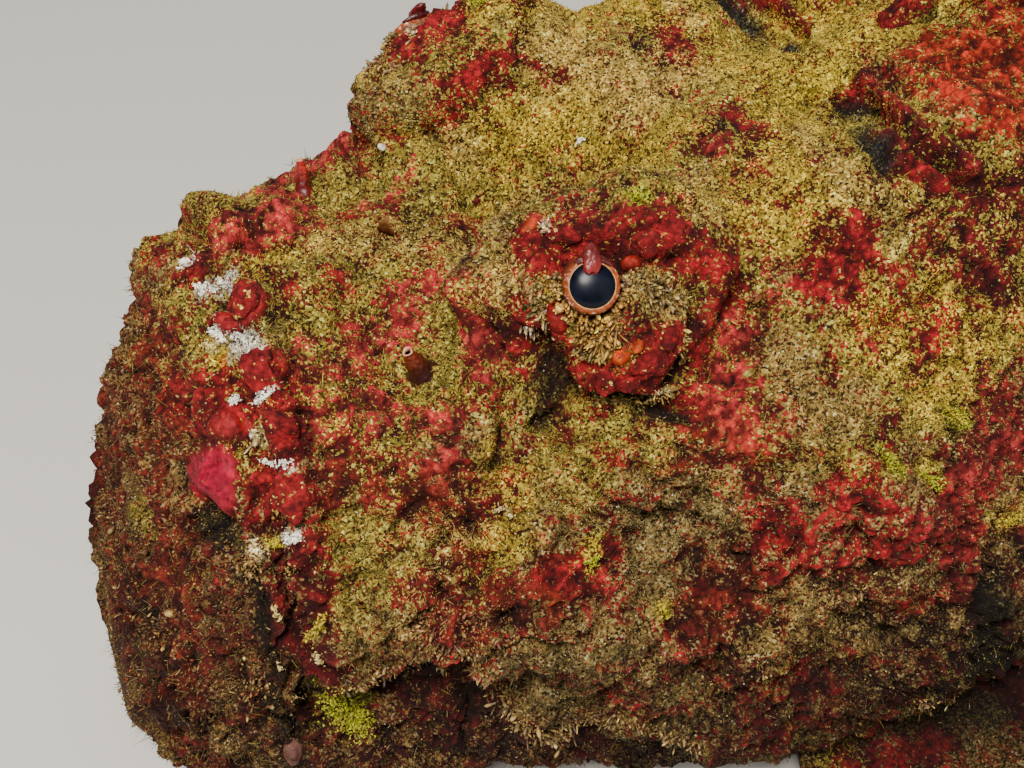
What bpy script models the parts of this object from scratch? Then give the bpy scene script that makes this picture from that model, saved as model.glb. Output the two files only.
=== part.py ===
"""A reef stonefish at life size, lying on its belly with its fins spread and its tail swung to its left.

The nose points to -X, the back to +Z and the fish's left side to -Y. The origin is on the floor, in the
middle of the flat of the belly. Shapes are worked out in millimetres and written in metres.
"""

import math
import random

import bmesh
import bpy
import numpy as np
from mathutils import Vector
from mathutils.bvhtree import BVHTree

MM = 0.001
GAP = 0.3  # between touching nodes
SEED = 11

# The body's outline, station by station from the mouth to the tail base
STATION_X = (-149, -135, -120, -105, -85, -65, -45, -25, 0, 25, 50, 75, 95, 112, 126)
BACK_Z = (87, 86, 86, 91, 97, 102, 105, 106, 105, 100, 90, 79, 70, 65, 63)
BELLY_Z = (3, -1, -2, -3, -3, -3, -3, -3, -3, -3, 0, 9, 19, 26, 28)
HALF_WIDTH = (38, 45, 50, 53, 56, 58, 56, 51, 43, 34, 25, 17, 12, 8.5, 7)
WIDEST_Z = (44, 43, 43, 42, 40, 39, 39, 40, 42, 44, 46, 46, 46, 45, 45)
UPPER_POWER = (2.1, 2.46, 2.8, 2.8, 2.7, 2.4, 2.1, 2.0, 1.95, 1.9, 1.9, 1.95, 2, 2, 2)
LOWER_POWER = (2.6, 2.5, 2.4, 2.4, 2.3, 2.3, 2.3, 2.2, 2.2, 2.1, 2.1, 2, 2, 2, 2)
MOUTH_X = STATION_X[0]
CHIN_X = -171
CHIN_Z = 8
CHIN_POWER = 2.1
CHIN_DROP = 0.24  # how much lower the jaw's top runs than the snout's
TAIL_CAP = 8  # length over which the tail stem rounds off

# The rings and columns of the body's surface
CHIN_RINGS = (0, 22, 38, 53, 66)  # degrees round the chin
LIP_RINGS = (-5.5, -3.6, -1.7, 0, 1.7, 3.6, 6)  # from the mouth line
HEAD_RINGS = (-138.6, -44, 4.9)  # first, last and step
TRUNK_RINGS = (-42, 114, 11.0)
TAIL_RINGS = (118, 122, 125, 126)
HULL_COLUMNS = 40
BACK_CLOSENESS = 0.35  # how much closer the columns lie on the back than on the belly
FAR = 300  # beyond the fish on every side

# Lumps and hollows on both sides of the head's top: x, distance from the middle, radius, height, steepness
TOP_FORMS = (
    (-103, 25, 13.5, 11.0, 2.0),  # orbit, which carries the eye
    (-116, 19, 6, 3.0, 1.0),  # front of the brow
    (-90, 25, 9, 5.5, 1.0),  # back of the brow
    (-103, 0, 12, -9.0, 1.5),  # trough between the eyes
    (-139, 8, 8, 4.5, 1.0),  # ends of the upper jaw's risers
    (-140, 0, 4.5, -4.0, 1.0),  # notch between them
    (-127, 20, 9, -5.5, 1.0),  # hollow round the nostrils
    (-113, 38, 6, -5.5, 1.0),  # pit before and below the eye
    (-93, 38, 7, -5.5, 1.0),  # pit behind and below the eye
    (-84, 11, 8, 2.5, 1.0),
    (-62, 10, 8, -6.5, 1.0),  # pit at the back of the skull
    (-71, 27, 10, 6.0, 1.0),  # nape ridge
    (-50, 27, 10, 5.0, 1.0),
)

# The same on the head's sides: x, z, radius, height, steepness
SIDE_FORMS = (
    (-101, 66, 8, -4.5, 1.0),  # hollow of the cheek
    (-83, 72, 9, 5.5, 1.0),  # knobs of the cheek ridge
    (-91, 55, 9, 4.5, 1.0),
    (-108, 53, 8, 4.5, 1.0),
    (-124, 57, 9, 4.0, 1.0),
    (-136, 62, 7, 2.5, 1.0),
    (-72, 63, 9, 3.5, 1.0),
    (-96, 36, 9, 3.0, 1.0),
    (-84, 20, 9, 2.5, 1.0),
)

# The upper and lower lips, as ridges along the mouth line
LIP_OFFSET = 3.6
LIP_WIDTH = 2.8
LIP_HEIGHT = 3.0
MOUTH_CORNER_Z = 46
LIP_FADE = 14  # height over which the lips die out at the mouth's corner

# The lower jaw is all that lies before the mouth line and below the cheek's edge, seen from the side
JAW_EDGE = ((-149, 62), (-146, 51), (-138, 48), (-128, 48), (-117, 42), (-109, 30), (-105, 14), (-104, -20))
JAW_LINE = ((MOUTH_X, 120), *JAW_EDGE)
JAW_INSET = 3.0  # how far the cheek overhangs the jaw's side
JAW_INSET_X = (-152, -140)  # where the overhang sets in
JAW_INSET_FADE = 6
JAW_GAP_LIFT = 0.6  # share of the gap between cheek and jaw that is upwards

NECK_TOP_X = -53  # the neck's cut leans with the edge of the gill cover
NECK_LEAN = 0.30
TAIL_CUT_X = 32

# The gill cover's outline, seen from the side
GILL_OUTLINE = (
    (-79, 66), (-66, 73), (-54, 71), (-47, 60), (-43, 46),
    (-44, 33), (-54, 25), (-68, 24), (-79, 33), (-83, 50),
)
GILL_THICK = 3.6
GILL_POINTS = 20  # round its smoothed outline
GILL_INNER_Y = 30

EYE_X = -103.4
EYE_AIM = (-0.22, 0.76, 0.61)  # from the head's middle out through the pupil, on the right side
EYE_SEAT = (14.7, 81.1)  # y and z where the ray along EYE_AIM starts, at EYE_X
EYE_RADIUS = 5.0
EYE_SUNK = 2.4
EYE_RINGS = 8
EYE_SIDES = 14
LID_RADIUS = 6.3
LID_THICK = 1.8
LID_HEIGHT = 2.4  # of the lid's rim over the eye's middle
LID_SIDES = 16
LID_TUBE_SIDES = 6
LID_WAVES = ((3, 0.16), (5, 0.10))  # waves round the lid and their share of its thickness
LID_KNOBS = 6
KNOB_SIZES = (2.0, 2.9)
KNOB_DEPTH = 8  # the knobs' rays start this far behind the eye
KNOB_SPREAD = (10, 7)  # and lean this far out for this far forward

NOSTRIL_X = -127
NOSTRIL_Y = 19.5
NOSTRIL_HEIGHT = 4.5
NOSTRIL_RADIUS = 1.7
NOSTRIL_BORE = 0.8
NOSTRIL_SUNK = 2.5
NOSTRIL_DEPTH = 2.0
NOSTRIL_LEAN = (-0.35, 0.25, 0.3)

# Warts of the head, trunk and tail
WART_SUNK = 2.2  # less than the gill cover's thickness
WART_SIDES = 6
WART_SQUASH = 0.82
WART_START = 14  # behind the mouth line
WART_STEP = 28  # along the body
WART_STAGGER = 6  # between one row and the next
WART_WANDER = 4
WART_TURN = 7
WART_LAST_X = 112
WART_ANGLES = (27, 47, 67, 87, 106)  # rows from the back down each side
WART_SIZES = (2.8, 4.6)
WART_HEIGHTS = (0.65, 0.95)  # of their sizes
TAIL_WART_X = 60
TAIL_WART_SHARE = 0.75
WART_CLEAR = 1.5  # kept between a wart's foot and any cut between nodes
NO_WARTS = ((EYE_X, 27, 17), (NOSTRIL_X, NOSTRIL_Y, 6))  # x, distance from the middle and reach
NO_WARTS_Z = 70  # above which these places are kept clear
GILL_CLEAR = (0.62, 1.35)  # shares of the gill cover's outline between which no wart stands
PECTORAL_ROOM = (-82, -14, 58)  # x from and to, and height: no warts where the fin grows

# Flaps and lobes of skin: how many on each side, their lengths and their widths
FLAP_SUNK = 1.8
LIP_LOBES = 8  # on each lip
LOBE_LENGTHS = (1.4, 3.4)
LOBE_WIDTHS = (3.4, 5.6)
LOBE_DEGREES = (6, 70)
UPPER_LOBES = (4.4, -0.3)  # behind the mouth line, and how far they lean back
LOWER_LOBES = (-4.6, 0.15)
CHEEK_FLAPS = 9  # along the cheek's lower edge
CHEEK_LENGTHS = (3.5, 8.0)
CHEEK_WIDTHS = (3.8, 7.0)
CHEEK_OFFSET = (2.5, 4.5)
CHEEK_LEAN = (-0.25, 0, -0.7)
CHIN_FLAPS = 6
CHIN_LENGTHS = (2.5, 5.0)
CHIN_WIDTHS = (3.4, 5.6)
CHIN_FLAPS_X = (-163, 22)  # first, and how far they spread
CHIN_FLAPS_Z = (14, 62)
CHIN_FLAPS_LOWEST = 8
CHIN_FLAPS_CLEAR = (16, 9)  # below the mouth's corner and before the mouth line
CHIN_LEAN = (-0.3, 0, -0.3)

SPINE_LENGTHS = (25, 27, 26, 23, 21, 20, 20, 19, 19, 18, 18, 17, 16)
SPINE_FIRST_X = -46
SPINE_LAST_X = 60
SPINE_LEAN = 38  # degrees back from upright
SPINE_RADIUS = 4.0  # of the longest
SPINE_SUNK = 7
SPINE_SIDES = 5
SPINE_SHAPE = ((0, 1.0), (0.6, 0.9), (0.85, 0.65), (1.0, 0.14))  # share of the length, share of the radius
SPINE_CURL = (1.8, 0, -0.36)
SPINE_SWAY = 0.07
CREST_RISE = (0.62, 0.34)  # the membrane's height at a spine and between spines, of a spine's length
CREST_END = 0.3
CREST_THICK = (7.0, 4.6, 2.0)
CREST_LEAN = 0.8

# Each paired fan's rays from first to last: the x and z where they grow from the body's side, then their
# tips, on the right side
PECTORAL_BASE = ((-36, 52), (-35, 38), (-40, 24), (-52, 13), (-74, 8))
PECTORAL_TIPS = ((30, 70, 38), (30, 96, 17), (0, 114, 4), (-48, 109, 1.2), (-86, 80, 1.0))
PELVIC_BASE = ((-42, 7), (-30, 7), (-17, 7))
PELVIC_TIPS = ((-36, 57, 1.2), (-8, 61, 1.2), (17, 50, 1.2))
FIN_SUNK = 7  # how far a fan's root lies inside the body, before it is cut back to the skin
SOFT_DORSAL_ROOTS = ((71, 0, 82), (83, 0, 74), (95, 0, 66))
SOFT_DORSAL_TIPS = ((87, 0, 103), (104, 0, 96), (117, 0, 82))
ANAL_ROOTS = ((38, 0, 6), (60, 0, 10), (90, 0, 24))
ANAL_TIPS = ((46, 0, 1.5), (78, 0, 0.8), (108, 0, 12))
CAUDAL_ROOTS = ((110, 0, 56), (112, 0, 45), (110, 0, 35))
CAUDAL_TIPS = ((157, 0, 74), (168, 0, 45), (157, 0, 15))

# The fans: name, roots, tips, rays, rows of points along a ray, thickness at root and tip, and how far
# the paired ones bow upwards
UPRIGHT_FANS = (
    ("soft_dorsal_fin", SOFT_DORSAL_ROOTS, SOFT_DORSAL_TIPS, 6, 5, 5.0, 1.4),
    ("anal_fin", ANAL_ROOTS, ANAL_TIPS, 8, 4, 5.0, 1.4),
    ("caudal_fin", CAUDAL_ROOTS, CAUDAL_TIPS, 12, 5, 6.0, 1.2),
)
PAIRED_FANS = (
    ("pectoral_fin_", PECTORAL_BASE, PECTORAL_TIPS, 18, 5, 6.0, 1.4, 9),
    ("pelvic_fin_", PELVIC_BASE, PELVIC_TIPS, 6, 5, 5.0, 1.4, 0),
)
WEB_SHARE = 0.55  # the membrane's thickness, of a ray's
WEB_SHORT = (0.06, 0.05)  # how far it falls short of the rays' tips, upright and paired
THIN_POWER = (0.8, 0.7)  # how a ray thins towards its tip, upright and paired
OVER_FLOOR = 1.2  # thickness kept where a fin lies on the floor

BEND_X = 25  # the tail swings to the left from here on
BEND_RADIUS = 290

SKIN_RED = (0.30, 0.035, 0.03, 1)
SKIN_DARK = (0.16, 0.03, 0.025, 1)
FIN_RED = (0.24, 0.05, 0.03, 1)
EYE_BLACK = (0.01, 0.01, 0.02, 1)
SHARP_ANGLE = 50

SIDES = ((-1, "left"), (1, "right"))


# Scene and mesh helpers

def clear_scene():
    for obj in list(bpy.data.objects):
        bpy.data.objects.remove(obj, do_unlink=True)


def material(name, colour, roughness):
    made = bpy.data.materials.new(name)
    made.use_nodes = True
    shader = made.node_tree.nodes["Principled BSDF"]
    shader.inputs["Base Color"].default_value = colour
    shader.inputs["Roughness"].default_value = roughness
    shader.inputs["Metallic"].default_value = 0.0
    return made


def mesh_object(name, points, faces):
    """A closed mesh from points in millimetres, with its faces turned outwards."""
    mesh = bpy.data.meshes.new(name)
    mesh.from_pydata([tuple(float(v) * MM for v in p) for p in points], [], [tuple(f) for f in faces])
    work = bmesh.new()
    work.from_mesh(mesh)
    bmesh.ops.recalc_face_normals(work, faces=work.faces)
    work.to_mesh(mesh)
    work.free()
    obj = bpy.data.objects.new(name, mesh)
    bpy.context.scene.collection.objects.link(obj)
    return obj


def apply_modifiers(obj):
    bpy.context.view_layer.update()
    graph = bpy.context.evaluated_depsgraph_get()
    made = bpy.data.meshes.new_from_object(obj.evaluated_get(graph))
    obj.modifiers.clear()
    obj.data = made


def boolean(obj, operation, other, solver="EXACT"):
    """obj joined to, cut by or kept inside another closed mesh."""
    step = obj.modifiers.new("step", "BOOLEAN")
    step.operation = operation
    step.solver = solver
    step.object = other
    apply_modifiers(obj)


def fuse(obj, pieces):
    """One union of obj with a collection of closed pieces, which are then removed."""
    if not pieces:
        return
    group = bpy.data.collections.new("pieces")
    bpy.context.scene.collection.children.link(group)
    for piece in pieces:
        bpy.context.scene.collection.objects.unlink(piece)
        group.objects.link(piece)
    step = obj.modifiers.new("fuse", "BOOLEAN")
    step.operation = "UNION"
    step.solver = "MANIFOLD"
    step.operand_type = "COLLECTION"
    step.collection = group
    apply_modifiers(obj)
    for piece in pieces:
        bpy.data.objects.remove(piece, do_unlink=True)
    bpy.data.collections.remove(group)


def copy_of(obj, name):
    made = bpy.data.objects.new(name, obj.data.copy())
    bpy.context.scene.collection.objects.link(made)
    return made


def islands(work):
    """The mesh's separate closed surfaces, each as a list of faces."""
    left = set(work.faces)
    found = []
    while left:
        start = left.pop()
        group = [start]
        queue = [start]
        while queue:
            for edge in queue.pop().edges:
                for face in edge.link_faces:
                    if face in left:
                        left.discard(face)
                        group.append(face)
                        queue.append(face)
        found.append(group)
    return found


def keep_largest(obj):
    """Keeps only the largest closed surface of a node."""
    work = bmesh.new()
    work.from_mesh(obj.data)
    groups = islands(work)
    if len(groups) > 1:
        groups.sort(key=lambda group: sum(face.calc_area() for face in group))
        for group in groups[:-1]:
            bmesh.ops.delete(work, geom=group, context="FACES")
        bmesh.ops.delete(work, geom=[v for v in work.verts if not v.link_faces], context="VERTS")
    work.to_mesh(obj.data)
    work.free()


def surface_tree(obj):
    work = bmesh.new()
    work.from_mesh(obj.data)
    tree = BVHTree.FromBMesh(work)
    work.free()
    return tree


def cast(tree, start, direction):
    """Where a ray first meets a surface, and the normal there, in millimetres."""
    place, normal, _, _ = tree.ray_cast(Vector(start) * MM, Vector(direction).normalized())
    return place / MM, normal


# The body's shape

def profile(values, x):
    """A smooth curve through a value at each station."""
    stations = np.array(STATION_X, float)
    values = np.array(values, float)
    slopes = np.gradient(values, stations)
    x = np.clip(x, stations[0], stations[-1])
    i = np.clip(np.searchsorted(stations, x) - 1, 0, len(stations) - 2)
    step = stations[i + 1] - stations[i]
    t = (x - stations[i]) / step
    return (
        (2 * t**3 - 3 * t**2 + 1) * values[i]
        + (t**3 - 2 * t**2 + t) * step * slopes[i]
        + (3 * t**2 - 2 * t**3) * values[i + 1]
        + (t**3 - t**2) * step * slopes[i + 1]
    )


def signed_power(value, power):
    return np.sign(value) * np.abs(value) ** power


def before_mouth(x):
    """0 at the mouth line, 1 at the chin's foremost point."""
    return np.clip((MOUTH_X - x) / (MOUTH_X - CHIN_X), 0, 1)


def end_share(x):
    """1 along the body, falling to 0 at the chin and at the end of the tail stem."""
    front = (1 - before_mouth(x) ** CHIN_POWER) ** (1 / CHIN_POWER)
    back = np.clip((x - STATION_X[-1] + TAIL_CAP) / TAIL_CAP, 0, 1)
    return front * np.sqrt(1 - back**2)


def half_section(x, upper):
    """The height of the widest place, the height from there to the back or the belly, and the power."""
    widest = profile(WIDEST_Z, x)
    half_height = np.where(upper, profile(BACK_Z, x) - widest, widest - profile(BELLY_Z, x))
    return widest, half_height, np.where(upper, profile(UPPER_POWER, x), profile(LOWER_POWER, x))


def section(x, angle):
    """Points of the plain body; angle is 0 at the back and turns towards the right side."""
    widest, half_height, power = half_section(x, np.cos(angle) >= 0)
    y = profile(HALF_WIDTH, x) * signed_power(np.sin(angle), 2 / power)
    z = widest + half_height * signed_power(np.cos(angle), 2 / power)
    share = end_share(x)
    middle = widest + (CHIN_Z - widest) * before_mouth(x)
    tall = np.where(z > widest, share * (1 - CHIN_DROP * before_mouth(x) ** 0.4), share)
    return np.stack([x, y * share, middle + (z - middle) * tall], -1)


def top_z(x, y):
    """Height of the plain body's top at a place seen from above."""
    widest, half_height, power = half_section(x, True)
    return float(widest + half_height * (1 - (abs(y) / profile(HALF_WIDTH, x)) ** power) ** (1 / power))


def side_y(x, z):
    """Half width of the plain body at a place seen from the side."""
    widest, half_height, power = half_section(x, z >= profile(WIDEST_Z, x))
    share = min(abs(z - widest) / half_height, 1)
    return float(profile(HALF_WIDTH, x) * (1 - share**power) ** (1 / power))


def grid_normals(points, closed):
    """Unit normals of a grid of points; its columns run round a closed loop or end at open edges."""
    along = np.gradient(points, axis=0)
    if closed:
        across = np.roll(points, -1, 1) - np.roll(points, 1, 1)
    else:
        across = np.gradient(points, axis=1)
    normal = np.cross(across, along)
    length = np.linalg.norm(normal, axis=-1, keepdims=True)
    return normal / np.maximum(length, 1e-9)


def smooth_step(low, high, value):
    t = np.clip((value - low) / (high - low), 0, 1)
    return t * t * (3 - 2 * t)


def jaw_line_z(x):
    """Height of the edge between cheek and lower jaw behind the mouth corner."""
    line = np.array(JAW_EDGE, float)
    return np.interp(x, line[:, 0], line[:, 1])


def form_centres():
    """Every lump and hollow as its place on the plain body's right side, radius, height and steepness."""
    top = [((x, y, top_z(x, y)), *rest) for x, y, *rest in TOP_FORMS]
    return top + [((x, side_y(x, z), z), *rest) for x, z, *rest in SIDE_FORMS]


def head_rise(points):
    """How far the head's lumps, hollows and lips stand out from the plain body."""
    x, y, z = points[..., 0], np.abs(points[..., 1]), points[..., 2]
    rise = np.zeros(x.shape)
    for (fx, fy, fz), radius, height, steepness in form_centres():
        away = ((x - fx) ** 2 + (y - fy) ** 2 + (z - fz) ** 2) / radius**2
        rise += height * np.exp(-(away**steepness))
    beside_mouth = smooth_step(MOUTH_CORNER_Z - LIP_FADE, MOUTH_CORNER_Z, z)
    for side in (-1, 1):
        away = (x - MOUTH_X - side * LIP_OFFSET) / LIP_WIDTH
        rise += beside_mouth * LIP_HEIGHT * np.exp(-(away**2))
    return rise


def hull_rows():
    """Where the body's rings lie, closest at the mouth and eyes."""
    front = [MOUTH_X - (MOUTH_X - CHIN_X) * math.cos(math.radians(a)) for a in CHIN_RINGS]
    lips = [MOUTH_X + step for step in LIP_RINGS]
    return np.concatenate([front, lips, np.arange(*HEAD_RINGS), np.arange(*TRUNK_RINGS), TAIL_RINGS])


def hull(name, grow=0.0, jaw=False, floor=True):
    """The whole body as one closed surface, grown or shrunk along its normals."""
    xs = hull_rows()
    angles = np.arange(HULL_COLUMNS) * 2 * math.pi / HULL_COLUMNS
    angles = angles - BACK_CLOSENESS * np.sin(angles)
    x, angle = np.meshgrid(xs, angles, indexing="ij")
    plain = section(x, angle)
    normal = grid_normals(plain, True)
    outward = np.sum(normal * (plain - plain.mean(1, keepdims=True)), -1).mean()
    normal *= math.copysign(1, outward)
    normal[0] = (-1, 0, 0)
    normal[-1] = (1, 0, 0)
    rise = head_rise(plain) + grow
    if jaw:
        below = 1 - smooth_step(0, JAW_INSET_FADE, plain[..., 2] - jaw_line_z(plain[..., 0]))
        rise -= JAW_INSET * below * smooth_step(*JAW_INSET_X, plain[..., 0])
    points = plain + normal * rise[..., None]
    if floor:
        points[..., 2] = np.maximum(points[..., 2], 0)
    rows, columns = points.shape[:2]
    flat = [points[0, 0]] + [points[i, j] for i in range(1, rows - 1) for j in range(columns)]
    flat.append(points[-1, 0])
    faces = []
    for j in range(columns):
        k = (j + 1) % columns
        faces.append((0, 1 + k, 1 + j))
        last = 1 + (rows - 3) * columns
        faces.append((len(flat) - 1, last + j, last + k))
        for i in range(rows - 3):
            a, b = 1 + i * columns, 1 + (i + 1) * columns
            faces.append((a + j, a + k, b + k))
            faces.append((a + j, b + k, b + j))
    return mesh_object(name, flat, faces)


def prism(name, outline, y_low, y_high):
    """A flat-ended block with an outline in x and z."""
    count = len(outline)
    points = [(x, y_low, z) for x, z in outline] + [(x, y_high, z) for x, z in outline]
    faces = [tuple(range(count)), tuple(range(count, 2 * count))]
    for i in range(count):
        j = (i + 1) % count
        faces.append((i, j, count + j, count + i))
    return mesh_object(name, points, faces)


def remove(*objs):
    for obj in objs:
        bpy.data.objects.remove(obj, do_unlink=True)


def bent(points):
    """The tail's swing to the left, which turns all that lies behind BEND_X about one upright axis."""
    points = np.array(points, float)
    turn = np.maximum(points[:, 0] - BEND_X, 0) / BEND_RADIUS
    behind = turn > 0
    reach = BEND_RADIUS + points[:, 1]
    x = np.where(behind, BEND_X + reach * np.sin(turn), points[:, 0])
    y = np.where(behind, reach * np.cos(turn) - BEND_RADIUS, points[:, 1])
    return np.stack([x, y, points[:, 2]], -1)


def bend(obj):
    count = len(obj.data.vertices)
    flat = np.empty(count * 3)
    obj.data.vertices.foreach_get("co", flat)
    moved = bent(flat.reshape(-1, 3) / MM) * MM
    obj.data.vertices.foreach_set("co", moved.astype(np.float32).ravel())
    obj.data.update()


# Flesh nodes

def neck_x(z, shift=0.0):
    return NECK_TOP_X + NECK_LEAN * (100 - z) + shift


def neck_block(name, shift):
    """All that lies behind the leaning neck cut."""
    outline = [(neck_x(FAR, shift), FAR), (neck_x(-FAR, shift), -FAR), (FAR, -FAR), (FAR, FAR)]
    return prism(name, outline, -FAR, FAR)


def tail_block(start):
    """All that lies behind an upright cut at start."""
    return prism("tail", [(start, -FAR), (FAR, -FAR), (FAR, FAR), (start, FAR)], -FAR, FAR)


def jaw_block(name, shift):
    """All that lies before and below the jaw line, moved back by shift."""
    outline = [(x + shift, z + shift * JAW_GAP_LIFT) for x, z in JAW_LINE]
    outline += [(-FAR, outline[-1][1]), (-FAR, outline[0][1])]
    return prism(name, outline, -FAR, FAR)


def make_head(body):
    head = copy_of(body, "head")
    behind = neck_block("behind_neck", -GAP / 2)
    jaw = jaw_block("before_jaw_line", GAP)
    boolean(head, "DIFFERENCE", behind)
    boolean(head, "DIFFERENCE", jaw)
    remove(behind, jaw)
    return head


def make_jaw():
    jaw = hull("lower_jaw", jaw=True)
    before = jaw_block("before", 0)
    boolean(jaw, "INTERSECT", before)
    remove(before)
    return jaw


def make_trunk(body):
    trunk = copy_of(body, "trunk")
    behind = neck_block("behind_neck", GAP / 2)
    tail = tail_block(TAIL_CUT_X)
    boolean(trunk, "INTERSECT", behind)
    boolean(trunk, "DIFFERENCE", tail)
    remove(behind, tail)
    return trunk


def make_tail_stem(body):
    stem = copy_of(body, "tail_stem")
    tail = tail_block(TAIL_CUT_X + GAP)
    boolean(stem, "INTERSECT", tail)
    remove(tail)
    return stem


def gill_block(name, side, grow):
    """A block with the gill cover's smoothed outline pushed out by grow."""
    points = np.array(GILL_OUTLINE, float)
    centre = points.mean(0)
    made = []
    total = len(points)
    for step in range(GILL_POINTS):
        at = step * total / GILL_POINTS
        i = int(at)
        t = at - i
        p0, p1, p2, p3 = (points[(i + k) % total] for k in (-1, 0, 1, 2))
        p = 0.5 * (2 * p1 + (p2 - p0) * t + (2 * p0 - 5 * p1 + 4 * p2 - p3) * t**2)
        p += 0.5 * (3 * p1 - p0 - 3 * p2 + p3) * t**3
        away = p - centre
        made.append(tuple(p + away / np.linalg.norm(away) * grow))
    return prism(name, made, *sorted((GILL_INNER_Y * side, FAR * side)))


def make_gill_cover(body, head, side, name):
    """A curved plate let into the head's side, with the head cut back by its thickness."""
    plate = copy_of(body, name)
    patch = gill_block("patch", side, 0)
    core = hull("core", grow=-GILL_THICK, floor=False)
    boolean(plate, "INTERSECT", patch)
    boolean(plate, "DIFFERENCE", core)
    remove(patch, core)
    room = gill_block("room", side, GAP)
    core = hull("core", grow=-GILL_THICK - GAP, floor=False)
    boolean(room, "DIFFERENCE", core)
    boolean(head, "DIFFERENCE", room)
    remove(room, core)
    return plate


# Round and tapered pieces

def frame_of(axis):
    """Two directions at right angles to an axis and to each other."""
    axis = Vector(axis).normalized()
    first = axis.cross(Vector((0, 0, 1)) if abs(axis.z) < 0.9 else Vector((1, 0, 0))).normalized()
    return axis, first, axis.cross(first)


def turned(name, centre, axis, profile_points, sides, squash=1.0):
    """A closed piece turned about an axis; profile points are (radius, height), the ends at radius 0."""
    axis, first, second = frame_of(axis)
    centre = Vector(centre)
    points = []
    faces = []
    rings = profile_points[1:-1]
    points.append(centre + axis * profile_points[0][1])
    for radius, height in rings:
        for k in range(sides):
            angle = 2 * math.pi * k / sides
            out = first * math.cos(angle) + second * math.sin(angle) * squash
            points.append(centre + axis * height + out * radius)
    points.append(centre + axis * profile_points[-1][1])
    for k in range(sides):
        n = (k + 1) % sides
        faces.append((0, 1 + k, 1 + n))
        for ring in range(len(rings) - 1):
            a, b = 1 + ring * sides, 1 + (ring + 1) * sides
            faces.append((a + k, b + k, b + n, a + n))
        last = 1 + (len(rings) - 1) * sides
        faces.append((len(points) - 1, last + n, last + k))
    return mesh_object(name, points, faces)


def tapered(name, path, radii, sides, flatness=1.0, wide=None):
    """A closed tapering piece along a path; flatness thins it at right angles to the direction wide."""
    points = []
    faces = []
    path = [Vector(p) for p in path]
    for i, (place, radius) in enumerate(zip(path, radii)):
        axis = (path[min(i + 1, len(path) - 1)] - path[max(i - 1, 0)]).normalized()
        if wide is None:
            axis, first, second = frame_of(axis)
        else:
            second = axis.cross(Vector(wide)).normalized()
            first = second.cross(axis)
        for k in range(sides):
            angle = 2 * math.pi * k / sides
            out = first * math.cos(angle) + second * flatness * math.sin(angle)
            points.append(place + out * radius)
    faces.append(tuple(range(sides)))
    last = (len(path) - 1) * sides
    faces.append(tuple(range(last, last + sides)))
    for i in range(len(path) - 1):
        for k in range(sides):
            n = (k + 1) % sides
            faces.append((i * sides + k, i * sides + n, (i + 1) * sides + n, (i + 1) * sides + k))
    return mesh_object(name, points, faces)


# Eyes and nostrils

def eye_place(tree, side):
    """The middle of the eyeball and the way it looks."""
    aim = Vector((EYE_AIM[0], EYE_AIM[1] * side, EYE_AIM[2])).normalized()
    start = (EYE_X, EYE_SEAT[0] * side, EYE_SEAT[1])
    place, _ = cast(tree, start, aim)
    return place - aim * EYE_SUNK, aim


def eyeball(tree, side, name, radius):
    """A ball where the eye sits: the eye itself, or one a little larger to cut its socket."""
    centre, aim = eye_place(tree, side)
    steps = [math.pi * i / EYE_RINGS for i in range(EYE_RINGS + 1)]
    points = [(radius * math.sin(a), -radius * math.cos(a)) for a in steps]
    return turned(name, centre, aim, points, EYE_SIDES)


def lid_ring(centre, aim):
    """The swollen rim of skin round the eye, as one closed ring."""
    axis, first, second = frame_of(aim)
    ring, tube = LID_SIDES, LID_TUBE_SIDES
    points = []
    faces = []
    for i in range(ring):
        a = 2 * math.pi * i / ring
        out = first * math.cos(a) + second * math.sin(a)
        thick = LID_THICK * (1 + sum(share * math.sin(waves * a) for waves, share in LID_WAVES))
        for j in range(tube):
            b = 2 * math.pi * j / tube
            height = LID_HEIGHT + thick * math.sin(b)
            points.append(centre + out * (LID_RADIUS + thick * math.cos(b)) + axis * height)
            k, m = (i + 1) % ring, (j + 1) % tube
            faces.append((i * tube + j, i * tube + m, k * tube + m, k * tube + j))
    return mesh_object("lid", points, faces)


def eye_surrounds(tree, side, rng):
    """The lids and the knobs of skin that stand round them."""
    centre, aim = eye_place(tree, side)
    axis, first, second = frame_of(aim)
    made = [lid_ring(centre, aim)]
    for k in range(LID_KNOBS):
        a = 2 * math.pi * (k + 0.35 * rng.random()) / LID_KNOBS
        out = first * math.cos(a) + second * math.sin(a)
        size = rng.uniform(*KNOB_SIZES)
        place, normal = cast(tree, centre - axis * KNOB_DEPTH, out * KNOB_SPREAD[0] + axis * KNOB_SPREAD[1])
        made.append(wart(place, normal + out * 0.4, size, size * 1.3))
    return made


def nostril(tree, side):
    """A short tube of skin, open at its end."""
    place, normal = cast(tree, (NOSTRIL_X, NOSTRIL_Y * side, 60), (0, 0, 1))
    x, y, z = NOSTRIL_LEAN
    axis = (normal + Vector((x, y * side, z))).normalized()
    r, h = NOSTRIL_RADIUS, NOSTRIL_HEIGHT
    outline = [(0, -NOSTRIL_SUNK), (r * 1.5, -NOSTRIL_SUNK), (r * 1.45, 0.4), (r * 1.2, h * 0.6), (r, h)]
    outline += [(NOSTRIL_BORE, h), (NOSTRIL_BORE * 0.7, h - NOSTRIL_DEPTH), (0, h - NOSTRIL_DEPTH)]
    return turned("nostril", place, axis, outline, 8)


def wart(root, axis, radius, height):
    outline = [(0, -WART_SUNK - 0.5), (radius, -WART_SUNK), (radius * 0.62, height * 0.72), (0, height)]
    return turned("wart", root, axis, outline, WART_SIDES, squash=WART_SQUASH)


# Warts, lobes and flaps of skin

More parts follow.
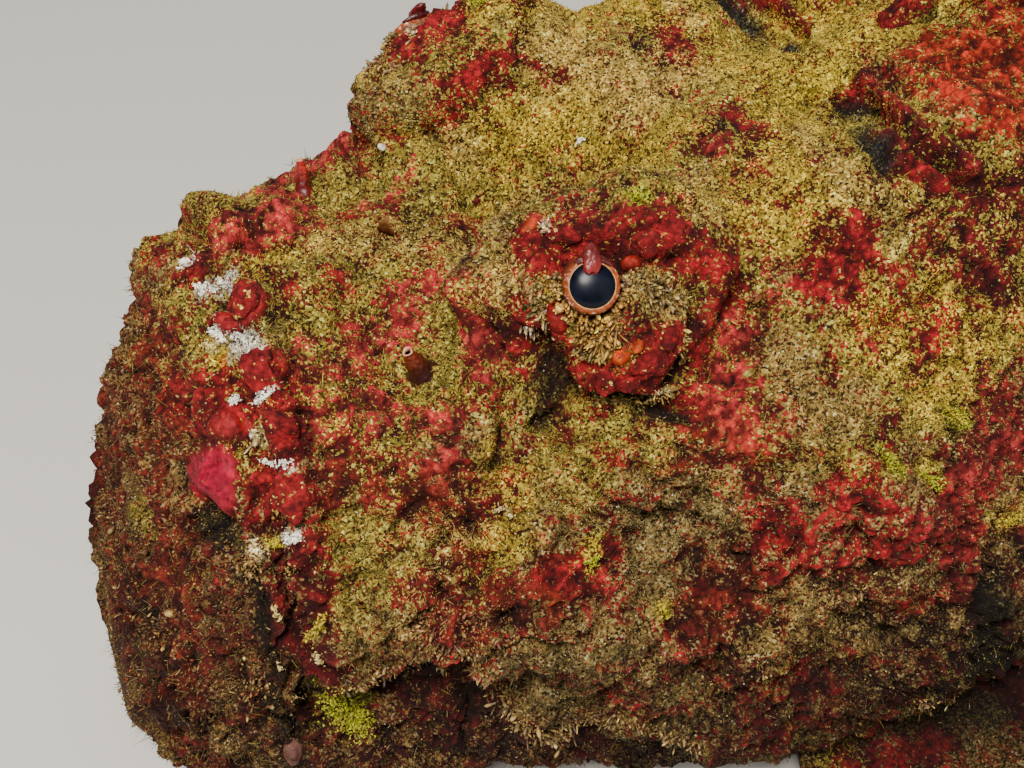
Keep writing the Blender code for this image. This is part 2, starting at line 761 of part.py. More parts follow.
def outline_share(x, z):
    """How far out a place is from the middle of the gill cover; 1 is about at its edge."""
    outline = np.array(GILL_OUTLINE, float)
    centre = outline.mean(0)
    away = math.hypot(x - centre[0], z - centre[1])
    nearest = min(outline, key=lambda p: math.dist(p, (x, z)))
    return away / math.dist(nearest, centre)


def node_at(place, radius):
    """The node on which a piece of this radius would stand clear of every cut, or None."""
    x, y, z = place
    room = radius + WART_CLEAR
    if z > NO_WARTS_Z and any(math.hypot(x - nx, abs(y) - ny) < reach for nx, ny, reach in NO_WARTS):
        return None
    share = outline_share(x, z)
    if PECTORAL_ROOM[0] < x < PECTORAL_ROOM[1] and z < PECTORAL_ROOM[2] and share > 0.8:
        return None
    if share < GILL_CLEAR[1]:
        inside = share < GILL_CLEAR[0] and abs(y) > GILL_INNER_Y
        return ("gill_cover_left" if y < 0 else "gill_cover_right") if inside else None
    if x < -40 and (x - neck_x(z)) < -room and z > jaw_line_z(x) + room + 3 and x > MOUTH_X + 9 + room:
        return "head"
    if x - neck_x(z) > room and x < TAIL_CUT_X - room:
        return "trunk"
    if TAIL_CUT_X + room < x < WART_LAST_X:
        return "tail_stem"
    return None


def around(tree, x, degrees):
    """The place and normal of the skin in one section, by the turn from the back."""
    out = section(np.array(x), np.array(math.radians(degrees)))
    middle = (x, 0, float(profile(WIDEST_Z, x)))
    return cast(tree, middle, Vector(out) - Vector(middle))


def make_warts(tree, rng):
    """Rows of blunt warts down both sides, sorted by the node they stand on."""
    found = {}
    for side in (-1, 1):
        for row, degrees in enumerate(WART_ANGLES):
            for x in np.arange(MOUTH_X + WART_START + WART_STAGGER * (row % 2), WART_LAST_X, WART_STEP):
                x += rng.uniform(-WART_WANDER, WART_WANDER)
                turn = degrees + rng.uniform(-WART_TURN, WART_TURN)
                size = rng.uniform(*WART_SIZES) * (TAIL_WART_SHARE if x > TAIL_WART_X else 1)
                place, normal = around(tree, x, turn * side)
                node = node_at(place, size)
                if node:
                    height = size * rng.uniform(*WART_HEIGHTS)
                    found.setdefault(node, []).append(wart(place, normal, size, height))
    return found


def tongue(name, root, out, wide, length, width):
    """A flat, tapering flap of skin that grows from root towards out."""
    out = Vector(out).normalized()
    path = [root - out * FLAP_SUNK, root + out * length * 0.45, root + out * length]
    return tapered(name, path, [width * 0.5, width * 0.5, width * 0.24], 4, 0.5, wide)


def beside(tree, x, z, side):
    """The place and normal of the skin at x and z, seen from the side."""
    return cast(tree, (x, 0, z), (0, side, 0))


def spaced(k, count, rng):
    """The k-th of count shares from 0 to 1, each moved a little at random."""
    return (k + 0.3 + 0.4 * rng.random()) / count


def make_lip_lobes(tree, rng):
    """Lobes of skin along both lips, as (pieces of the head, pieces of the lower jaw)."""
    upper, lower = [], []
    for side in (-1, 1):
        for k in range(LIP_LOBES):
            degrees = LOBE_DEGREES[0] + (LOBE_DEGREES[1] - LOBE_DEGREES[0]) * spaced(k, LIP_LOBES, rng)
            for pieces, (offset, lean) in ((upper, UPPER_LOBES), (lower, LOWER_LOBES)):
                place, normal = around(tree, MOUTH_X + offset, degrees * side)
                along = normal + Vector((lean, 0, 0))
                length, width = rng.uniform(*LOBE_LENGTHS), rng.uniform(*LOBE_WIDTHS)
                pieces.append(tongue("lobe", place, along, (0, normal.z, -normal.y), length, width))
    return upper, lower


def make_cheek_flaps(tree, rng):
    """Ragged flaps that hang along the cheek's lower edge, over the lower jaw."""
    made = []
    edge = np.array(JAW_EDGE, float)
    for side in (-1, 1):
        for k in range(CHEEK_FLAPS):
            at = spaced(k, CHEEK_FLAPS, rng) * (len(edge) - 3)
            i = int(at)
            x, z = edge[i] + (edge[i + 1] - edge[i]) * (at - i) + CHEEK_OFFSET
            place, normal = beside(tree, x, z, side)
            length, width = rng.uniform(*CHEEK_LENGTHS), rng.uniform(*CHEEK_WIDTHS)
            made.append(tongue("flap", place, normal + Vector(CHEEK_LEAN), (1, 0, 0.6), length, width))
    return made


def make_chin_flaps(tree, rng):
    """Short flaps on the lower jaw's front and sides."""
    made = []
    for side in (-1, 1):
        for k in range(CHIN_FLAPS):
            x = CHIN_FLAPS_X[0] + CHIN_FLAPS_X[1] * rng.random()
            z = CHIN_FLAPS_Z[0] + CHIN_FLAPS_Z[1] * (k + 0.2 + 0.6 * rng.random()) / CHIN_FLAPS
            if z > MOUTH_CORNER_Z - CHIN_FLAPS_CLEAR[0]:
                x = min(x, MOUTH_X - CHIN_FLAPS_CLEAR[1])
            place, normal = beside(tree, x, z, side)
            if place.z > CHIN_FLAPS_LOWEST:
                length, width = rng.uniform(*CHIN_LENGTHS), rng.uniform(*CHIN_WIDTHS)
                made.append(tongue("flap", place, normal + Vector(CHIN_LEAN), (0, 0.3, 1), length, width))
    return made


# Fins

def blade(name, middle, thick, lowest=None):
    """A closed sheet about a grid of middle points, split into triangles alike on both faces."""
    middle = np.array(middle, float)
    normal = grid_normals(middle, False)
    upper = middle + normal * thick[..., None] / 2
    lower = middle - normal * thick[..., None] / 2
    if lowest is not None:
        over, under = (upper, lower) if normal[..., 2].mean() > 0 else (lower, upper)
        under[..., 2] = np.maximum(under[..., 2], lowest)
        over[..., 2] = np.maximum(over[..., 2], under[..., 2] + np.minimum(thick, OVER_FLOOR))
    rows, columns = middle.shape[:2]
    count = rows * columns
    points = list(upper.reshape(-1, 3)) + list(lower.reshape(-1, 3))
    faces = []
    for i in range(rows - 1):
        for j in range(columns - 1):
            a, b = i * columns + j, i * columns + j + 1
            c, d = a + columns, b + columns
            for corner in ((a, b, d), (a, d, c)):
                faces.append(corner)
                faces.append(tuple(count + v for v in reversed(corner)))
    edge = list(range(columns))
    edge += [i * columns + columns - 1 for i in range(1, rows)]
    edge += [(rows - 1) * columns + j for j in range(columns - 2, -1, -1)]
    edge += [i * columns for i in range(rows - 2, 0, -1)]
    for here, there in zip(edge, edge[1:] + edge[:1]):
        faces.append((here, there, count + there))
        faces.append((here, count + there, count + here))
    return mesh_object(name, points, faces)


def rayed_fin(name, roots, tips, rays, rows, root_thick, tip_thick, paired, bow=0, lowest=None):
    """A fan of rays raised on its membrane, from curves through its roots and through its tips."""
    columns = 2 * rays - 1
    middle = np.zeros((rows, columns, 3))
    depth = np.zeros((rows, columns))
    for j in range(columns):
        k = j / (columns - 1)
        web = j % 2 == 1
        reach = 1 - WEB_SHORT[paired] if web else 1
        root, tip = curve_through(roots, k), curve_through(tips, k)
        for i in range(rows):
            t = i / (rows - 1)
            lift = bow * (1 - k) * math.sin(math.pi * t * reach)
            middle[i, j] = root + (tip - root) * t * reach + np.array((0, 0, lift))
            thick = root_thick + (tip_thick - root_thick) * t ** THIN_POWER[paired]
            depth[i, j] = thick * (WEB_SHARE if web else 1)
    return blade(name, middle, depth, lowest)


def curve_through(points, k):
    """A point on a smooth curve through a few points, k from 0 to 1."""
    points = np.array(points, float)
    at = np.arange(len(points)) / (len(points) - 1)
    slopes = np.gradient(points, at, axis=0)
    i = min(int(k * (len(points) - 1)), len(points) - 2)
    step = at[i + 1] - at[i]
    t = (k - at[i]) / step
    return (
        (2 * t**3 - 3 * t**2 + 1) * points[i]
        + (t**3 - 2 * t**2 + t) * step * slopes[i]
        + (3 * t**2 - 2 * t**3) * points[i + 1]
        + (t**3 - t**2) * step * slopes[i + 1]
    )


def mirrored(points, side):
    return [(x, y * side, z) for x, y, z in points]


def paired_fan(name, base, tips, rays, rows, root_thick, tip_thick, bow, side):
    roots = mirrored([(x, side_y(x, z) - FIN_SUNK, z) for x, z in base], side)
    tips = mirrored(tips, side)
    return rayed_fin(name, roots, tips, rays, rows, root_thick, tip_thick, True, bow, lowest=0.0)


def back_z(x):
    return float(profile(BACK_Z, np.array(float(x))))


def dorsal_spine(x, length, sway):
    """One spine in its thick warty sleeve of skin, bare only at the tip."""
    lean = math.radians(SPINE_LEAN)
    root = Vector((x, 0, back_z(x) - SPINE_SUNK))
    along = Vector((math.sin(lean), sway, math.cos(lean))).normalized()
    full = length + SPINE_SUNK + 2
    path = [root + along * full * s + Vector(SPINE_CURL) * (s * s) for s, _ in SPINE_SHAPE]
    radius = SPINE_RADIUS * length / SPINE_LENGTHS[0]
    return tapered("spine", path, [radius * share for _, share in SPINE_SHAPE], SPINE_SIDES)


def make_spiny_dorsal():
    """Thirteen sleeved spines joined by a low, notched membrane."""
    count = len(SPINE_LENGTHS)
    xs = [SPINE_FIRST_X + (SPINE_LAST_X - SPINE_FIRST_X) * i / (count - 1) for i in range(count)]
    lean = math.radians(SPINE_LEAN)
    columns = 2 * count + 1
    rows = len(CREST_THICK)
    middle = np.zeros((rows, columns, 3))
    depth = np.zeros((rows, columns))
    spacing = xs[1] - xs[0]
    for j in range(columns):
        at = j / 2 - 0.5
        x = xs[0] + spacing * at
        length = SPINE_LENGTHS[min(max(round(at), 0), count - 1)]
        rise = length * (CREST_RISE[0] if j % 2 == 1 else CREST_RISE[1])
        if j in (0, columns - 1):
            rise *= CREST_END
        for i in range(rows):
            up = -SPINE_SUNK + (rise + SPINE_SUNK) * i / (rows - 1)
            middle[i, j] = (x + math.tan(lean) * max(up, 0) * CREST_LEAN, 0, back_z(x) + up)
            depth[i, j] = CREST_THICK[i]
    fin = blade("spiny_dorsal_fin", middle, depth)
    rng = random.Random(SEED)
    sways = [rng.uniform(-SPINE_SWAY, SPINE_SWAY) for _ in xs]
    fuse(fin, [dorsal_spine(*numbers) for numbers in zip(xs, SPINE_LENGTHS, sways)])
    return fin


# The whole fish

def make_flesh(body, tree):
    """Head, jaw, trunk, tail stem and gill covers, with their warts and flaps, and the eyes."""
    nodes = {"head": make_head(body), "lower_jaw": make_jaw(), "trunk": make_trunk(body)}
    nodes["tail_stem"] = make_tail_stem(body)
    for side, word in SIDES:
        nodes["gill_cover_" + word] = make_gill_cover(body, nodes["head"], side, "gill_cover_" + word)
    rng = random.Random(SEED)
    upper_lobes, lower_lobes = make_lip_lobes(tree, rng)
    pieces = make_warts(tree, rng)
    for side, _ in SIDES:
        pieces["head"] += [nostril(tree, side)] + eye_surrounds(tree, side, rng)
    pieces["head"] += upper_lobes + make_cheek_flaps(tree, rng)
    pieces["lower_jaw"] = lower_lobes + make_chin_flaps(surface_tree(nodes["lower_jaw"]), rng)
    for name, grown_on in pieces.items():
        fuse(nodes[name], grown_on)
    for side, word in SIDES:
        socket = eyeball(tree, side, "socket", EYE_RADIUS + GAP)
        boolean(nodes["head"], "DIFFERENCE", socket, "MANIFOLD")
        remove(socket)
        nodes["eye_" + word] = eyeball(tree, side, "eye_" + word, EYE_RADIUS)
    return nodes


def make_fins(grown):
    """All fins, cut back to just clear of the skin."""
    fins = [make_spiny_dorsal()]
    fins += [rayed_fin(*fan, False) for fan in UPRIGHT_FANS]
    for side, word in SIDES:
        fins += [paired_fan(name + word, *fan, side) for name, *fan in PAIRED_FANS]
    for fin in fins:
        boolean(fin, "DIFFERENCE", grown)
    return {fin.name: fin for fin in fins}


def finish(nodes):
    """Bends each node with the tail, and gives it its material."""
    looks = {
        "fin": material("fin_skin", FIN_RED, 0.8),
        "jaw": material("jaw_skin", SKIN_DARK, 0.85),
        "eye": material("eye", EYE_BLACK, 0.1),
    }
    skin = material("skin", SKIN_RED, 0.85)
    for name, node in nodes.items():
        keep_largest(node)
        bend(node)
        node.data.materials.clear()
        node.data.materials.append(next((looks[word] for word in looks if word in name), skin))
        node.data.shade_smooth()
        node.data.set_sharp_from_angle(angle=math.radians(SHARP_ANGLE))


def main():
    clear_scene()
    body = hull("body")
    grown = hull("grown", grow=GAP, floor=False)
    nodes = make_flesh(body, surface_tree(body))
    nodes.update(make_fins(grown))
    remove(body, grown)
    finish(nodes)


main()
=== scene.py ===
import math
import random

import bpy
import numpy as np
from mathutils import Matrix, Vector
from mathutils.bvhtree import BVHTree
from mathutils.kdtree import KDTree


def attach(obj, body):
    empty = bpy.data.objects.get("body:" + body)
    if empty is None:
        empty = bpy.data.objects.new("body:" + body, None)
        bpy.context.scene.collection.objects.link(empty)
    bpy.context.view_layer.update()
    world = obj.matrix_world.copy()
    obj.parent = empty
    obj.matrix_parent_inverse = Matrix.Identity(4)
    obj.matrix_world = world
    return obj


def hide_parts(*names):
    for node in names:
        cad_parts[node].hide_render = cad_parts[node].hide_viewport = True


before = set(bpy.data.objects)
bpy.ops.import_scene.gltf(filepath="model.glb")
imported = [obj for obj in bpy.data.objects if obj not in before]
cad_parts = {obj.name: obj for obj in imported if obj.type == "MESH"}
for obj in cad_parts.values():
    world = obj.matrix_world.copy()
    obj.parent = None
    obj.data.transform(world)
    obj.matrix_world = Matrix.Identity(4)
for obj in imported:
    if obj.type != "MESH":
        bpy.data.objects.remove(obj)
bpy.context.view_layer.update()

MM = 0.001
SEED = 11

# The camera, and the frame that places on the fish are read in
CAMERA_PLACE = (-175.8, -182.3, 217.6)
CAMERA_AZIMUTH = -20.9
CAMERA_ELEVATION = 40.0
LENS = 59.9
SENSOR = 36.0
FRAME_WIDTH = 1024
FRAME_HEIGHT = 768

# The body's outline as in the solids, station by station from the mouth to the tail base
STATION_X = (-149, -135, -120, -105, -85, -65, -45, -25, 0, 25, 50, 75, 95, 112, 126)
BACK_Z = (87, 86, 86, 91, 97, 102, 105, 106, 105, 100, 90, 79, 70, 65, 63)
BELLY_Z = (3, -1, -2, -3, -3, -3, -3, -3, -3, -3, 0, 9, 19, 26, 28)
HALF_WIDTH = (38, 45, 50, 53, 56, 58, 56, 51, 43, 34, 25, 17, 12, 8.5, 7)
WIDEST_Z = (44, 43, 43, 42, 40, 39, 39, 40, 42, 44, 46, 46, 46, 45, 45)
UPPER_POWER = (2.1, 2.46, 2.8, 2.8, 2.7, 2.4, 2.1, 2.0, 1.95, 1.9, 1.9, 1.95, 2, 2, 2)
LOWER_POWER = (2.6, 2.5, 2.4, 2.4, 2.3, 2.3, 2.3, 2.2, 2.2, 2.1, 2.1, 2, 2, 2, 2)
MOUTH_X = STATION_X[0]
CHIN_X = -171
CHIN_Z = 8
CHIN_POWER = 2.1
CHIN_DROP = 0.24  # how much lower the jaw's top runs than the snout's
TAIL_CAP = 8
BEND_X = 25
BEND_RADIUS = 290

# Lumps and hollows on both sides of the head's top: x, distance from the middle, radius, height, steepness
TOP_FORMS = (
    (-103, 25, 13.5, 11.0, 2.0),
    (-116, 19, 6, 3.0, 1.0),
    (-90, 25, 9, 5.5, 1.0),
    (-103, 0, 12, -9.0, 1.5),
    (-139, 8, 8, 4.5, 1.0),
    (-140, 0, 4.5, -4.0, 1.0),
    (-127, 20, 9, -5.5, 1.0),
    (-113, 38, 6, -5.5, 1.0),
    (-93, 38, 7, -5.5, 1.0),
    (-84, 11, 8, 2.5, 1.0),
    (-62, 10, 8, -6.5, 1.0),
    (-71, 27, 10, 6.0, 1.0),
    (-50, 27, 10, 5.0, 1.0),
)

# The same on the head's sides: x, z, radius, height, steepness
SIDE_FORMS = (
    (-101, 66, 8, -4.5, 1.0),
    (-83, 72, 9, 5.5, 1.0),
    (-91, 55, 9, 4.5, 1.0),
    (-108, 53, 8, 4.5, 1.0),
    (-124, 57, 9, 4.0, 1.0),
    (-136, 62, 7, 2.5, 1.0),
    (-72, 63, 9, 3.5, 1.0),
    (-96, 36, 9, 3.0, 1.0),
    (-84, 20, 9, 2.5, 1.0),
)

LIP_OFFSET = 3.6
LIP_WIDTH = 2.8
LIP_HEIGHT = 3.0
MOUTH_CORNER_Z = 46
MOUTH_DEPTH = 4.2
MOUTH_WIDTH = 0.75

JAW_EDGE = ((-149, 62), (-146, 51), (-138, 48), (-128, 48), (-117, 42), (-109, 30), (-105, 14), (-104, -20))
JAW_INSET = 3.0

EYE_X = -103.4
EYE_AIM = (-0.22, 0.76, 0.61)
EYE_SEAT = (14.7, 81.1)
EYE_SUNK = 2.4
LID_RADIUS = 6.3
LID_THICK = 1.8
LID_HEIGHT = 2.4

# The fins, as in the solids: each fan's first to last rays by their roots and tips, on the right side
PECTORAL_BASE = ((-36, 52), (-35, 38), (-40, 24), (-52, 13), (-74, 8))
PECTORAL_TIPS = ((30, 70, 38), (30, 96, 17), (0, 114, 4), (-48, 109, 1.2), (-86, 80, 1.0))
PELVIC_BASE = ((-42, 7), (-30, 7), (-17, 7))
PELVIC_TIPS = ((-36, 57, 1.2), (-8, 61, 1.2), (17, 50, 1.2))
FIN_SUNK = 7
SOFT_DORSAL_ROOTS = ((71, 0, 82), (83, 0, 74), (95, 0, 66))
SOFT_DORSAL_TIPS = ((87, 0, 103), (104, 0, 96), (117, 0, 82))
ANAL_ROOTS = ((38, 0, 6), (60, 0, 10), (90, 0, 24))
ANAL_TIPS = ((46, 0, 1.5), (78, 0, 0.8), (108, 0, 12))
CAUDAL_ROOTS = ((110, 0, 56), (112, 0, 45), (110, 0, 35))
CAUDAL_TIPS = ((157, 0, 74), (168, 0, 45), (157, 0, 15))
SPINE_LENGTHS = (25, 27, 26, 23, 21, 20, 20, 19, 19, 18, 18, 17, 16)
SPINE_FIRST_X = -46
SPINE_LAST_X = 60
SPINE_LEAN = 38
SPINE_RADIUS = 4.0

# How finely the skin is cut, in millimetres
COAT_DEPTH = 0.6
FINE = 1.0
ROW_HEAD = 0.52 * FINE
ROW_TRUNK = 1.3 * FINE
CAP_ROWS = int(110 / FINE)
FINE_END_X = -30
COLUMN_LEFT = 0.40 * FINE
COLUMN_RIGHT = 0.68 * FINE
COLUMN_BELLY = 1.2 * FINE
FLOOR_CLEAR = 0.05
GIRTH = 300.0

# The skin's share of its map along the body
MAP_START = 0.004
MAP_SPAN = 0.992

# Creases in the skin, both sides alike: depth, width, then the line in the frame's pixels
CREASES = (
    (2.3, 1.2, ((190, 500), (225, 532), (252, 573), (266, 642), (277, 682))),
    (2.4, 1.0, ((506, 196), (503, 235), (507, 262), (501, 318), (508, 366), (505, 425), (500, 460),
                (478, 492))),
    (3.6, 2.1, ((536, 350), (548, 378), (566, 398))),
    (4.6, 1.5, ((604, 398), (628, 407), (655, 412), (688, 404))),
    (4.0, 1.0, ((684, 322), (681, 350), (674, 378))),
    (1.4, 0.9, ((556, 252), (600, 250), (640, 236), (664, 228))),
    (2.4, 1.0, ((748, 230), (744, 262), (730, 300), (724, 316))),
    (2.4, 1.3, ((750, 681), (797, 650), (848, 600), (880, 571))),
    (2.0, 1.2, ((330, 168), (372, 152), (420, 135), (452, 122))),
    (3.0, 1.5, ((848, 106), (862, 132), (884, 156))),
    (2.6, 0.9, ((868, 100), (894, 128), (925, 156), (965, 182))),
    (1.8, 1.2, ((965, 182), (1015, 196))),
    (2.0, 1.1, ((590, 250), (640, 262), (680, 262))),
    (1.4, 1.0, ((640, 470), (690, 500), (700, 560), (672, 610))),
    (1.3, 0.9, ((330, 520), (360, 560), (350, 610))),
    (2.6, 1.3, ((990, 560), (975, 620), (985, 700), (1000, 768))),
    (3.2, 0.9, ((576, 728), (598, 702), (618, 682), (650, 660), (668, 618))),
    (2.2, 0.8, ((498, 612), (520, 640), (560, 650), (600, 622))),
    (2.0, 0.8, ((690, 602), (720, 640), (716, 690), (740, 712))),
    (2.0, 0.8, ((410, 500), (450, 512), (480, 540), (476, 580), (440, 600))),
    (1.8, 0.8, ((560, 500), (600, 520), (640, 540), (646, 590))),
    (2.0, 0.8, ((770, 540), (800, 570), (790, 610), (750, 640))),
    (2.0, 0.8, ((830, 470), (870, 520), (850, 560))),
    (1.6, 1.1, ((860, 330), (905, 320), (940, 290))),
    (1.3, 0.9, ((760, 470), (800, 455), (850, 470))),
    (1.6, 1.0, ((120, 470), (150, 520), (140, 575), (170, 620))),
    (1.4, 0.9, ((130, 330), (165, 350), (200, 345))),
    (1.6, 0.9, ((140, 690), (190, 670), (235, 690))),
    (2.2, 1.0, ((578, 404), (560, 420), (535, 424))),
    (2.4, 1.4, ((96, 605), (125, 622), (150, 618))),
    (2.6, 1.6, ((880, 640), (930, 655), (975, 640), (1020, 620))),
    (3.0, 1.8, ((820, 742), (870, 725), (930, 735))),
    (1.2, 1.6, ((286, 742), (300, 768))),
)

# Swellings, both sides alike: height, radius, then the line in the frame's pixels
SWELLINGS = (
    (1.5, 2.2, ((243, 302),)),
    (2.0, 2.7, ((259, 362), (264, 380))),
    (2.0, 2.6, ((279, 422), (282, 442))),
    (2.2, 2.6, ((292, 480), (290, 496))),
    (1.6, 3.2, ((300, 560), (312, 610), (322, 660))),
    (1.3, 2.0, ((226, 318),)),
    (1.5, 2.2, ((235, 424),)),
    (1.8, 2.8, ((208, 482),)),
    (1.2, 2.2, ((196, 268),)),
    (1.4, 1.7, ((536, 246), (566, 240), (598, 238))),
    (2.4, 2.8, ((592, 384), (622, 380), (650, 366), (668, 336))),
    (1.3, 2.4, ((640, 225), (690, 240), (715, 262))),
    (1.5, 2.4, ((720, 275), (700, 320))),
    (3.0, 1.25, ((864, 78), (890, 108), (920, 140), (968, 168))),
    (1.8, 1.5, ((822, 110), (850, 112))),
    (1.8, 1.5, ((884, 138), (912, 164), (940, 186))),
    (2.0, 4.4, ((930, 80), (985, 110))),
    (2.4, 3.8, ((392, 96), (430, 104))),
    (4.2, 4.6, ((352, 160), (384, 122))),
    (3.0, 4.0, ((384, 96), (386, 70))),
    (2.0, 4.0, ((395, 20), (430, 60))),
    (1.6, 4.6, ((125, 268), (150, 300))),
    (1.4, 4.2, ((118, 365),)),
    (1.6, 4.4, ((120, 600),)),
    (1.5, 4.2, ((190, 600), (215, 560))),
    (1.6, 4.0, ((150, 710),)),
    (1.4, 3.4, ((215, 690),)),
    (3.4, 4.2, ((548, 690), (530, 706))),
    (2.0, 3.4, ((585, 650), (560, 625))),
    (2.0, 3.6, ((655, 640), (690, 640))),
    (2.2, 3.8, ((735, 640), (760, 668))),
    (1.8, 3.2, ((500, 580), (520, 560))),
    (1.8, 3.2, ((440, 540), (455, 560))),
    (1.8, 4.6, ((350, 640), (380, 620))),
    (2.0, 4.4, ((440, 620), (470, 600))),
    (1.8, 4.4, ((640, 690), (680, 700))),
    (1.8, 3.6, ((935, 690), (925, 640))),
    (1.6, 3.4, ((600, 560), (560, 585))),
    (1.5, 3.8, ((760, 590), (790, 560))),
    (1.4, 3.4, ((905, 500), (935, 520))),
)

# The cheek's ragged lower edge, which overhangs the jaw
LEDGE = ((306, 668), (340, 690), (385, 672), (430, 648), (470, 648), (490, 690), (518, 734), (562, 738),
         (578, 716), (622, 720), (662, 734), (704, 748), (760, 766))
LEDGE_RISE = 2.0
LEDGE_DROP = 5.0
LEDGE_SHARP = 0.7
LEDGE_FADE = 6.0
LEDGE_WIDTH = 3.2
LEDGE_REACH = 14

# Colours of the skin and of what grows on it, as linear light; some are painted shade, as marked
CRIMSON = (0.43, 0.016, 0.020)
PINK_RED = (0.45, 0.034, 0.034)
SCARLET = (0.62, 0.050, 0.020)
ROSE = (0.62, 0.050, 0.048)
FLAME = (0.72, 0.048, 0.018)
WINE = (0.17, 0.008, 0.010)
MAGENTA = (0.42, 0.001, 0.032)
DEEP_RED = (0.080, 0.004, 0.005)
BRICK = (0.24, 0.026, 0.014)
ORANGE = (0.56, 0.075, 0.014)
# Painted shade: SHADE, the dark olive and BLUE_BLACK darken hollows, gaps, the pit and undersides; DEEP_RED
# is partly the skin's own dark red and partly painted shade
SHADE = (0.018, 0.010, 0.006)
SHADED_OLIVE = (0.040, 0.034, 0.009)
BLUE_BLACK = (0.016, 0.018, 0.022)
WHITE = (1.0, 0.97, 0.86)
PALE = (0.78, 0.62, 0.30)
GOLD = (0.54, 0.30, 0.052)
OLIVE = (0.37, 0.300, 0.046)
MUSTARD = (0.53, 0.390, 0.037)
SAND = (0.54, 0.385, 0.088)
TAN = (0.33, 0.225, 0.066)
GREY = (0.225, 0.165, 0.058)
LIME = (0.40, 0.430, 0.020)
YELLOW = (0.58, 0.450, 0.030)
UMBER = (0.095, 0.050, 0.018)
PINK_RIM = (0.70, 0.36, 0.20)
